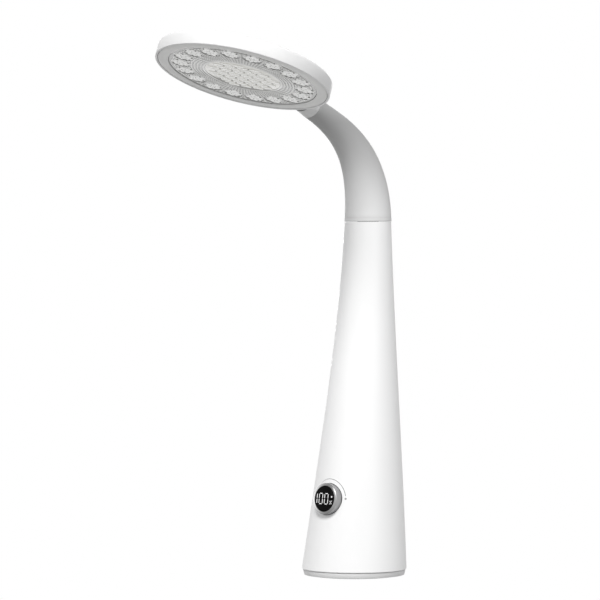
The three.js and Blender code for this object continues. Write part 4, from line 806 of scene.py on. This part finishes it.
def add_stretch(name, index, rings, sides, look, closed=False):
    """A stretch of the lead or the sleeve round its hinge, made as one fixed mesh; it is not tied to the
    bodies before and after its hinge.
    """
    made = as_object(swept(rings, sides, closed), f"{name}_{index + 1}")
    made.data.materials.append(look)
    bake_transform(made)
    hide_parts(name)


def spaced(start, end, pitch):
    count = max(1, math.ceil((end - start) / pitch))
    return [start + (end - start) * step / count for step in range(count + 1)]


def add_neck_lead(look):
    for index, (start, end) in enumerate(stretches(LEAD_START, LEAD_END)):
        rings = [neck_ring(length, LEAD_RADIUS) for length in spaced(start, end, LEAD_PITCH)]
        add_stretch("neck_lead", index, rings, LEAD_SIDES, look)


white_lead = skin_look("white_lead", LEAD_WHITE, roughness=0.45, drift=0.03)
add_neck_lead(white_lead)
finish(steel_look, "gooseneck_root", *numbered("gooseneck_link", 4), "neck_tip")
finish(dark_plastic, "neck_anchor")
finish(screw_look, "anchor_nut", *numbered("tip_screw", 2))
finish(white_lead, "base_lead", "head_lead")

# Neck sleeve: grey silicone that tapers from the body to the head, pushed over the hose, and bends with it.
# Its five stretches, one round each hinge, meet where the neck stays straight. A fine groove rings its foot.
SLEEVE_START, SLEEVE_END, SLEEVE_BEVEL = mm(0.15, 121.6, 0.5)
SLEEVE_FOOT_RADIUS, SLEEVE_END_RADIUS = mm(18.9, 9.6)
SLEEVE_SHARES, EASE_SHARE = (0, 0.289, 1.2, 1), 0.3
SLEEVE_BORE = 6.5 * MM
SLEEVE_SIDES, SLEEVE_PITCH = 96, 1.2 * MM
FOOT_GROOVE, FOOT_GROOVE_HALF, FOOT_GROOVE_DEPTH = mm(3.2, 0.22, 0.3)
ANCHOR_ROOM = (mm(20.3, 8.5), mm(3.3, 12.9), mm(3.3, 15.3), mm(0.15, 15.3))
SILICONE_LIGHT, SILICONE_PAINTED_SHADE = grey(0.73), grey(0.35)
PAINTED_SHADE_LOW, PAINTED_SHADE_HIGH = mm(287, 360)
SILICONE_GRAIN, SILICONE_GRAIN_HEIGHT = 700, 0.015 * MM


def sleeve_radius(length):
    share = neck_at(length)[2]
    left = 1 - share
    weights = (left ** 3, 3 * left ** 2 * share, 3 * left * share ** 2, share ** 3)
    taper = sum(weight * step for weight, step in zip(weights, SLEEVE_SHARES))
    return SLEEVE_FOOT_RADIUS + (SLEEVE_END_RADIUS - SLEEVE_FOOT_RADIUS) * taper


def sleeve_outside(start, end):
    """Lengths and radii of the outer face, with its rounded ends and the groove at the foot."""
    rows, near = [], EASE_SHARE * SLEEVE_BEVEL
    low, high = start, end
    if start == SLEEVE_START:
        rows = [(low, sleeve_radius(low) - SLEEVE_BEVEL), (low + near, sleeve_radius(low) - near)]
        before, after = FOOT_GROOVE - FOOT_GROOVE_HALF, FOOT_GROOVE + FOOT_GROOVE_HALF
        rows += [(step, sleeve_radius(step)) for step in spaced(low + SLEEVE_BEVEL, before, SLEEVE_PITCH)]
        rows += [(edge, sleeve_radius(edge) - FOOT_GROOVE_DEPTH) for edge in (before, after)]
        low = after
    if end == SLEEVE_END:
        high -= SLEEVE_BEVEL
    rows += [(step, sleeve_radius(step)) for step in spaced(low, high, SLEEVE_PITCH)]
    if end == SLEEVE_END:
        rows += [(end - near, sleeve_radius(high) - near), (end, sleeve_radius(high) - SLEEVE_BEVEL)]
    return rows


def sleeve_inside(start, end):
    room = ANCHOR_ROOM if start == SLEEVE_START else ()
    low = room[0][0] if room else start
    return [*((step, SLEEVE_BORE) for step in reversed(spaced(low, end, 2 * SLEEVE_PITCH))), *room]


def add_sleeve(look):
    for index, (start, end) in enumerate(stretches(SLEEVE_START, SLEEVE_END)):
        rows = sleeve_outside(start, end) + sleeve_inside(start, end)
        rings = [neck_ring(length, radius) for length, radius in rows]
        add_stretch("neck_sleeve", index, rings, SLEEVE_SIDES, look, closed=True)


def silicone_look():
    """Matt grey silicone; its colour darkens from the body towards the head as painted shade for the head's
    shadow over the neck.
    """
    look = skin_look("grey_silicone", SILICONE_LIGHT, roughness=0.55, drift=0.03, grain=SILICONE_GRAIN,
                     height=SILICONE_GRAIN_HEIGHT, Specular_IOR_Level=0.25)
    # Painted shade: with height, near the head, the colour fades to the darker grey.
    across, along, up = axes_in(look.node_tree, Matrix())
    rise = node(look.node_tree, "MapRange", {"Value": up, "From Min": PAINTED_SHADE_LOW, "From Max": PAINTED_SHADE_HIGH})
    tint(look, rise.outputs[0], SILICONE_LIGHT, SILICONE_PAINTED_SHADE)
    return look


add_sleeve(silicone_look())

# Head shell: a flat white moulded cup with a rounded upper edge. The neck's tongue passes a notch in its
# back and is screwed to two posts inside.
HEAD_PLACE, HEAD_TILT = Vector((0, -131.4444, 392.9619)) * MM, math.radians(-19.85)
HEAD_RADIUS, HEAD_THICKNESS, HEAD_ROUND = mm(69, 11.7, 3)
HEAD_WALL, HEAD_TOP_WALL, HEAD_EASE = mm(1.7, 1.8, 0.35)
# Painted shade: the head's white plastic is a darker copy of the body's white, so its wall reads shaded.
HEAD_WHITE_PAINTED_SHADE = grey(0.74)
NOTCH_HALF, NOTCH_LOW, NOTCH_HIGH = mm(7.9, 3.9, 9)
ROUND_STEPS, HEAD_SIDES = 8, 256

head_frame = Matrix.Translation(HEAD_PLACE) @ Matrix.Rotation(HEAD_TILT, 4, "X")


def add_head():
    inner, corner = HEAD_RADIUS - HEAD_WALL, HEAD_RADIUS - HEAD_ROUND
    ceiling = HEAD_THICKNESS - HEAD_TOP_WALL
    middle, near = HEAD_THICKNESS - HEAD_ROUND, EASE_SHARE * HEAD_EASE
    arc = [(corner + HEAD_ROUND * math.cos(angle), middle + HEAD_ROUND * math.sin(angle))
           for angle in spaced(0, math.pi / 2, math.pi / 2 / ROUND_STEPS)]
    profile = [(0, ceiling), (inner - HEAD_TOP_WALL, ceiling), (inner, ceiling - HEAD_TOP_WALL),
               (inner, HEAD_EASE), (inner + near, near), (inner + HEAD_EASE, 0),
               (HEAD_RADIUS - HEAD_EASE, 0), (HEAD_RADIUS - near, near), (HEAD_RADIUS, HEAD_EASE),
               *arc, (0, HEAD_THICKNESS)]
    head = as_object(lathe(profile, HEAD_SIDES), "head_shell_skin")
    combine(head, box((-NOTCH_HALF, inner - HEAD_ROUND, NOTCH_LOW),
                      (NOTCH_HALF, HEAD_RADIUS + HEAD_ROUND, NOTCH_HIGH)))
    head.data.transform(head_frame)
    dress(head, skin_look("white_head_painted_shade", HEAD_WHITE_PAINTED_SHADE, SHELL_ROUGHNESS), "head", "white_plastic", "head_shell")


add_head()

# Collar: a white moulded cover between the sleeve's end and the head's wall, round at the neck and
# flat oval where it meets the head. A dark band, set back from its skin against the head, is painted shadow
# for the shade under the head's rim.
COLLAR_START, COLLAR_WALL, COLLAR_HALF_WIDTH = mm(121.9, 1.4, 9.9)
COLLAR_FOOT, COLLAR_CROWN, COLLAR_PULL = mm(0.9, 10.2, 5)
COLLAR_ROWS, COLLAR_SIDES, COLLAR_INNER_SHARE = 14, 96, 0.15
COLLAR_GAP, SHADOW_BAND_WIDTH, SHADOW_BAND_INSET, SHADOW_BAND_SHARE = 0.2 * MM, 2.8 * MM, 0.5 * MM, 0.25
# Painted shade: the collar's white is darker than the shell's white plastic, and the band's dark grey is
# painted shadow.
COLLAR_WHITE_PAINTED_SHADE, SHADOW_BAND_DARK = grey(0.62), grey(0.16)


def collar_rings(inset, first):
    centre, lean, share = neck_at(COLLAR_START)
    radius = sleeve_radius(SLEEVE_END)
    upper = Vector((0, math.cos(lean), math.sin(lean)))
    low_start, high_start = centre - upper * radius, centre + upper * radius
    inside = HEAD_RADIUS - HEAD_WALL
    low_end = head_frame @ Vector((0, inside, COLLAR_FOOT))
    high_end = head_frame @ Vector((0, inside, COLLAR_CROWN))
    bend = high_start + leaning(lean) * COLLAR_PULL
    rings = []
    for step in range(COLLAR_ROWS + 1):
        share = first + (1 - first) * step / COLLAR_ROWS
        low = low_start.lerp(low_end, share)
        high = high_start.lerp(bend, share).lerp(bend.lerp(high_end, share), share)
        wide = radius + (COLLAR_HALF_WIDTH - radius) * share - inset
        rise = high - low
        rings.append(round_place((low + high) / 2, Vector((1, 0, 0)), rise.normalized(), wide,
                                 rise.length / 2 - inset))
    return rings


def collar_part(rings, name, gap):
    """A closed tube through the rings, cut off by the head's wall with a gap."""
    made = as_object(swept(rings, COLLAR_SIDES, closed=True), name)
    wall = HEAD_RADIUS + gap
    combine(made, upright_rod(wall, -HEAD_THICKNESS, 2 * HEAD_THICKNESS, head_frame, HEAD_SIDES))
    return made


def add_collar():
    outer, inner = collar_rings(0, 0), collar_rings(COLLAR_WALL, COLLAR_INNER_SHARE)
    rings = [neck_ring(COLLAR_START, SLEEVE_BORE), *outer, *reversed(inner),
             neck_ring(COLLAR_START + COLLAR_WALL, SLEEVE_BORE)]
    collar = collar_part(rings, "head_collar_skin", COLLAR_GAP + SHADOW_BAND_WIDTH)
    dress(collar, skin_look("collar_plastic_painted_shade", COLLAR_WHITE_PAINTED_SHADE, SHELL_ROUGHNESS), "head", "white_plastic",
          "head_collar")
    # Painted shadow: a dark band, set back in the collar's skin against the head, for the shade under the
    # head's rim.
    outer, inner = collar_rings(SHADOW_BAND_INSET, SHADOW_BAND_SHARE), collar_rings(COLLAR_WALL, SHADOW_BAND_SHARE)
    painted_shadow_band = collar_part([*outer, *reversed(inner)], "head_collar_painted_shadow", COLLAR_GAP)
    dress(painted_shadow_band, skin_look("painted_shadow_look", SHADOW_BAND_DARK, roughness=0.6), "head", "dark_rubber")


add_collar()

# Light board, reflector and lead connector: flat stampings under the head's ceiling, behind the lens.
BOARD_WHITE = (0.82, 0.82, 0.78)
finish(skin_look("board_white", BOARD_WHITE, roughness=0.35, drift=0.03),
       "light_board", "reflector_sheet", "lead_connector")
finish(screw_look, *numbered("light_screw", 3))

# Lens disc: a moulded clear disc, frosted from behind. Fine rings and painted flutes run between eighteen
# flower-like lenses, and its middle carries staggered small cells. It lies in the head behind the bezel.
LENS_RADIUS, LENS_FLANGE_RADIUS, LENS_TOP, LENS_FLANGE = mm(58.3, 62, 2.5, 0.6)
LENS_FACE, LENS_LOWEST = mm(0.9, 0.45)
MIDDLE_RADIUS = 30.6 * MM
RIDGE_START, RIDGE_PITCH, RIDGE_COUNT, RIDGE_FLANK = 32.4 * MM, 2.4 * MM, 10, 0.45 * MM
FLUTE_COUNT, FLUTE_CUT, FLUTE_PAINTED_SHADE_SHARE = 100, 0.2, 0.7
FLOWER_CIRCLE, FLOWER_COUNT, FLOWER_ROOM, FLOWER_SIDES = 49 * MM, 18, 7.9 * MM, 48
LOBE_LENGTH, LOBE_WIDTH, LOBE_OUT, LOBE_STRETCH_SHARE = 3.1 * MM, 2.2 * MM, 3.9 * MM, 1.15
LOBE_COUNT, SMALL_LOBE_SHARE, DOME_SIDES, DOME_ROWS = 8, 0.75, 16, 10
BEAD_RADIUS, PIT_RADIUS, PIT_SHARES, PIT_HEIGHT_SHARE = 1.5 * MM, 0.6 * MM, (0.62, 1.45), 1.1
CELL_PITCH, CELL_ROW, CELL_LENGTH, CELL_WIDTH = mm(9.8, 4.24, 8, 3.7)
CELL_TURN, CELL_START = math.radians(30), -2.8 * MM
CELL_DOT_LONG, CELL_DOT_WIDE, CELL_ROUND = mm(0.75, 1.25, 0.3)
CELL_BED_SHARE, CELL_DOT_SHARE = 0.3, 0.7
LENS_GREY, LENS_DARK, LENS_GRAIN = (0.8, 0.8, 0.78), (0.2, 0.2, 0.19), 500
LENS_CREAM, LENS_BRIGHT = (0.93, 0.92, 0.87), (0.97, 0.97, 0.95)
LENS_COAT = {"Coat_Weight": 1, "Coat_Roughness": 0.08, "Coat_IOR": 1.6}


def flower_places():
    angles = [math.pi / 2 + (index + 0.5) * math.tau / FLOWER_COUNT for index in range(FLOWER_COUNT)]
    return [Matrix.Rotation(angle, 4, "Z") @ Matrix.Translation((FLOWER_CIRCLE, 0, LENS_FACE))
            for angle in angles]


def ringed_look():
    """Lens plastic that is light where it stands out; painted shade darkens its grooves and rings, and
    painted dark stripes stand for its flutes.
    """
    look = skin_look("ringed_lens", LENS_GREY, roughness=0.2, drift=0.06, grain=LENS_GRAIN, **LENS_COAT)
    tree = look.node_tree
    across, up, out = axes_in(tree, head_frame)
    # Painted shade: darker where the face lies deep in the grooves between the rings, and in stripes for the
    # flutes.
    depth = node(tree, "MapRange", {"Value": out, "From Min": LENS_LOWEST, "From Max": LENS_FACE},
                 interpolation_type="SMOOTHSTEP").outputs[0]
    turns = calc(tree, "MULTIPLY", calc(tree, "ARCTAN2", up, across), FLUTE_COUNT)
    waves = calc(tree, "GREATER_THAN", calc(tree, "SINE", turns), FLUTE_CUT)
    reach = distance(tree, across, up)
    outside = calc(tree, "GREATER_THAN", reach, RIDGE_START)
    inside = calc(tree, "LESS_THAN", reach, RIDGE_START + RIDGE_COUNT * RIDGE_PITCH)
    flutes = calc(tree, "MULTIPLY", waves, outside, inside, FLUTE_PAINTED_SHADE_SHARE)
    tint(look, calc(tree, "MAXIMUM", depth, flutes), LENS_GREY, LENS_DARK)
    return look


def add_lens_plate():
    face = [(0, LENS_FACE), (MIDDLE_RADIUS - 2 * RIDGE_FLANK, LENS_FACE),
            (MIDDLE_RADIUS - RIDGE_FLANK, LENS_LOWEST), (MIDDLE_RADIUS + RIDGE_FLANK, LENS_LOWEST)]
    for index in range(RIDGE_COUNT):
        low = RIDGE_START + index * RIDGE_PITCH
        high = low + RIDGE_PITCH - RIDGE_FLANK
        face += [(low, LENS_FACE), (low + RIDGE_FLANK, LENS_LOWEST), (high - RIDGE_FLANK, LENS_LOWEST),
                 (high, LENS_FACE)]
    profile = [*face, (LENS_RADIUS, LENS_FACE), (LENS_RADIUS, LENS_TOP - LENS_FLANGE),
               (LENS_FLANGE_RADIUS, LENS_TOP - LENS_FLANGE), (LENS_FLANGE_RADIUS, LENS_TOP), (0, LENS_TOP)]
    plate = as_object(lathe(profile, HEAD_SIDES), "lens_plate")
    rooms = bmesh.new()
    for place in flower_places():
        add_rod(rooms, FLOWER_ROOM, -LENS_FACE, 0, place, FLOWER_SIDES)
    combine(plate, rooms)
    plate.data.transform(head_frame)
    dress(plate, ringed_look(), "head", "clear_lens", "lens_disc")


def add_dome(bm, place, length, width, tall):
    size = Matrix.Diagonal((length, width, tall, 1))
    bmesh.ops.create_uvsphere(bm, u_segments=DOME_SIDES, v_segments=DOME_ROWS, radius=1, matrix=place @ size)


def add_lens_part(bm, name, look):
    bmesh.ops.transform(bm, matrix=head_frame, verts=bm.verts)
    dress(as_object(bm, name), look, "head", "clear_lens")


def add_flowers():
    """Four large and four small petals round a bead, with dark pits between them."""
    lobes, pits = bmesh.new(), bmesh.new()
    tall = LENS_FACE - LENS_LOWEST
    for place in flower_places():
        middle = place @ Matrix.Diagonal((LOBE_STRETCH_SHARE, 1, 1, 1))
        add_dome(lobes, middle, BEAD_RADIUS, BEAD_RADIUS, tall)
        for index in range(LOBE_COUNT):
            turned = middle @ Matrix.Rotation(index * math.tau / LOBE_COUNT, 4, "Z")
            lobe = turned @ Matrix.Translation((LOBE_OUT, 0, 0))
            size = SMALL_LOBE_SHARE if index % 2 else 1
            add_dome(lobes, lobe, size * LOBE_LENGTH, size * LOBE_WIDTH, tall)
            between = turned @ Matrix.Rotation(math.pi / LOBE_COUNT, 4, "Z")
            pit = between @ Matrix.Translation((PIT_SHARES[index % 2] * LOBE_OUT, 0, 0))
            add_dome(pits, pit, PIT_RADIUS, PIT_RADIUS, PIT_HEIGHT_SHARE * tall)
    bright = skin_look("bright_lobes", LENS_BRIGHT, roughness=0.1, drift=0.05, **LENS_COAT)
    add_lens_part(lobes, "lens_flowers", bright)
    add_lens_part(pits, "lens_pits", skin_look("dark_pits", LENS_DARK, roughness=0.3))


def add_cells():
    """Rows of long cells, each row shifted by a quarter of their pitch; every second row has dark joints."""
    limit = MIDDLE_RADIUS - 2 * RIDGE_FLANK
    tall = LENS_FACE - LENS_LOWEST
    bed = LENS_FACE - CELL_BED_SHARE * tall
    cells = lathe([(0, bed), (limit, bed), (limit, LENS_FACE), (0, LENS_FACE)])
    dots = bmesh.new()
    skew = Matrix.Translation((0, CELL_START, LENS_FACE)) @ Matrix.Rotation(CELL_TURN, 4, "Z")
    reach = math.ceil(MIDDLE_RADIUS / CELL_ROW)
    for row in range(-reach, reach + 1):
        for column in range(-reach, reach + 1):
            joint = skew @ Matrix.Translation(((column + row / 4) * CELL_PITCH, row * CELL_ROW, 0))
            middle = joint @ Matrix.Translation((CELL_PITCH / 2, 0, 0))
            if middle.translation.xy.length + CELL_LENGTH / 2 < limit:
                add_block(cells, middle, CELL_LENGTH, CELL_WIDTH, 2 * tall)
            if row % 2 == 0 and joint.translation.xy.length < limit - CELL_LENGTH / 2:
                add_dome(dots, joint, CELL_DOT_LONG, CELL_DOT_WIDE, CELL_DOT_SHARE * tall)
    cream = skin_look("cream_cells", LENS_CREAM, roughness=0.15, drift=0.1, **LENS_COAT)
    add_lens_part(soften(cells, CELL_ROUND), "lens_cells", cream)
    add_lens_part(dots, "lens_dots", skin_look("cell_joints", LENS_DARK, roughness=0.4))


add_lens_plate()
add_flowers()
add_cells()

# Bezel: a plain frosted ring round the lens disc, clipped into the head's wall; a fine shadow line
# stays between it and the shell.
BEZEL_LOW, BEZEL_INNER, BEZEL_OUTER = mm(0.3, 58.7, 66.9)
BEZEL_THICKNESS, BEZEL_WALL, BEZEL_TOP = mm(1.3, 1.3, 7)
BEZEL_ROUND, BEZEL_NOTCH_GAP = mm(0.2, 0.3)
BEZEL_GREY = (0.68, 0.68, 0.67)


def add_bezel():
    high = BEZEL_LOW + BEZEL_THICKNESS
    profile = [(BEZEL_INNER, BEZEL_LOW), (BEZEL_OUTER, BEZEL_LOW), (BEZEL_OUTER, BEZEL_TOP),
               (BEZEL_OUTER - BEZEL_WALL, BEZEL_TOP), (BEZEL_OUTER - BEZEL_WALL, high), (BEZEL_INNER, high)]
    ring = as_object(soften(lathe(profile, HEAD_SIDES), BEZEL_ROUND), "bezel_ring")
    clear = NOTCH_HALF + BEZEL_NOTCH_GAP
    combine(ring, box((-clear, BEZEL_INNER, NOTCH_LOW - BEZEL_NOTCH_GAP), (clear, HEAD_RADIUS, NOTCH_HIGH)))
    ring.data.transform(head_frame)
    look = skin_look("frosted_bezel", BEZEL_GREY, roughness=0.35, drift=0.03)
    dress(ring, look, "head", "clear_lens", "head_bezel")


add_bezel()
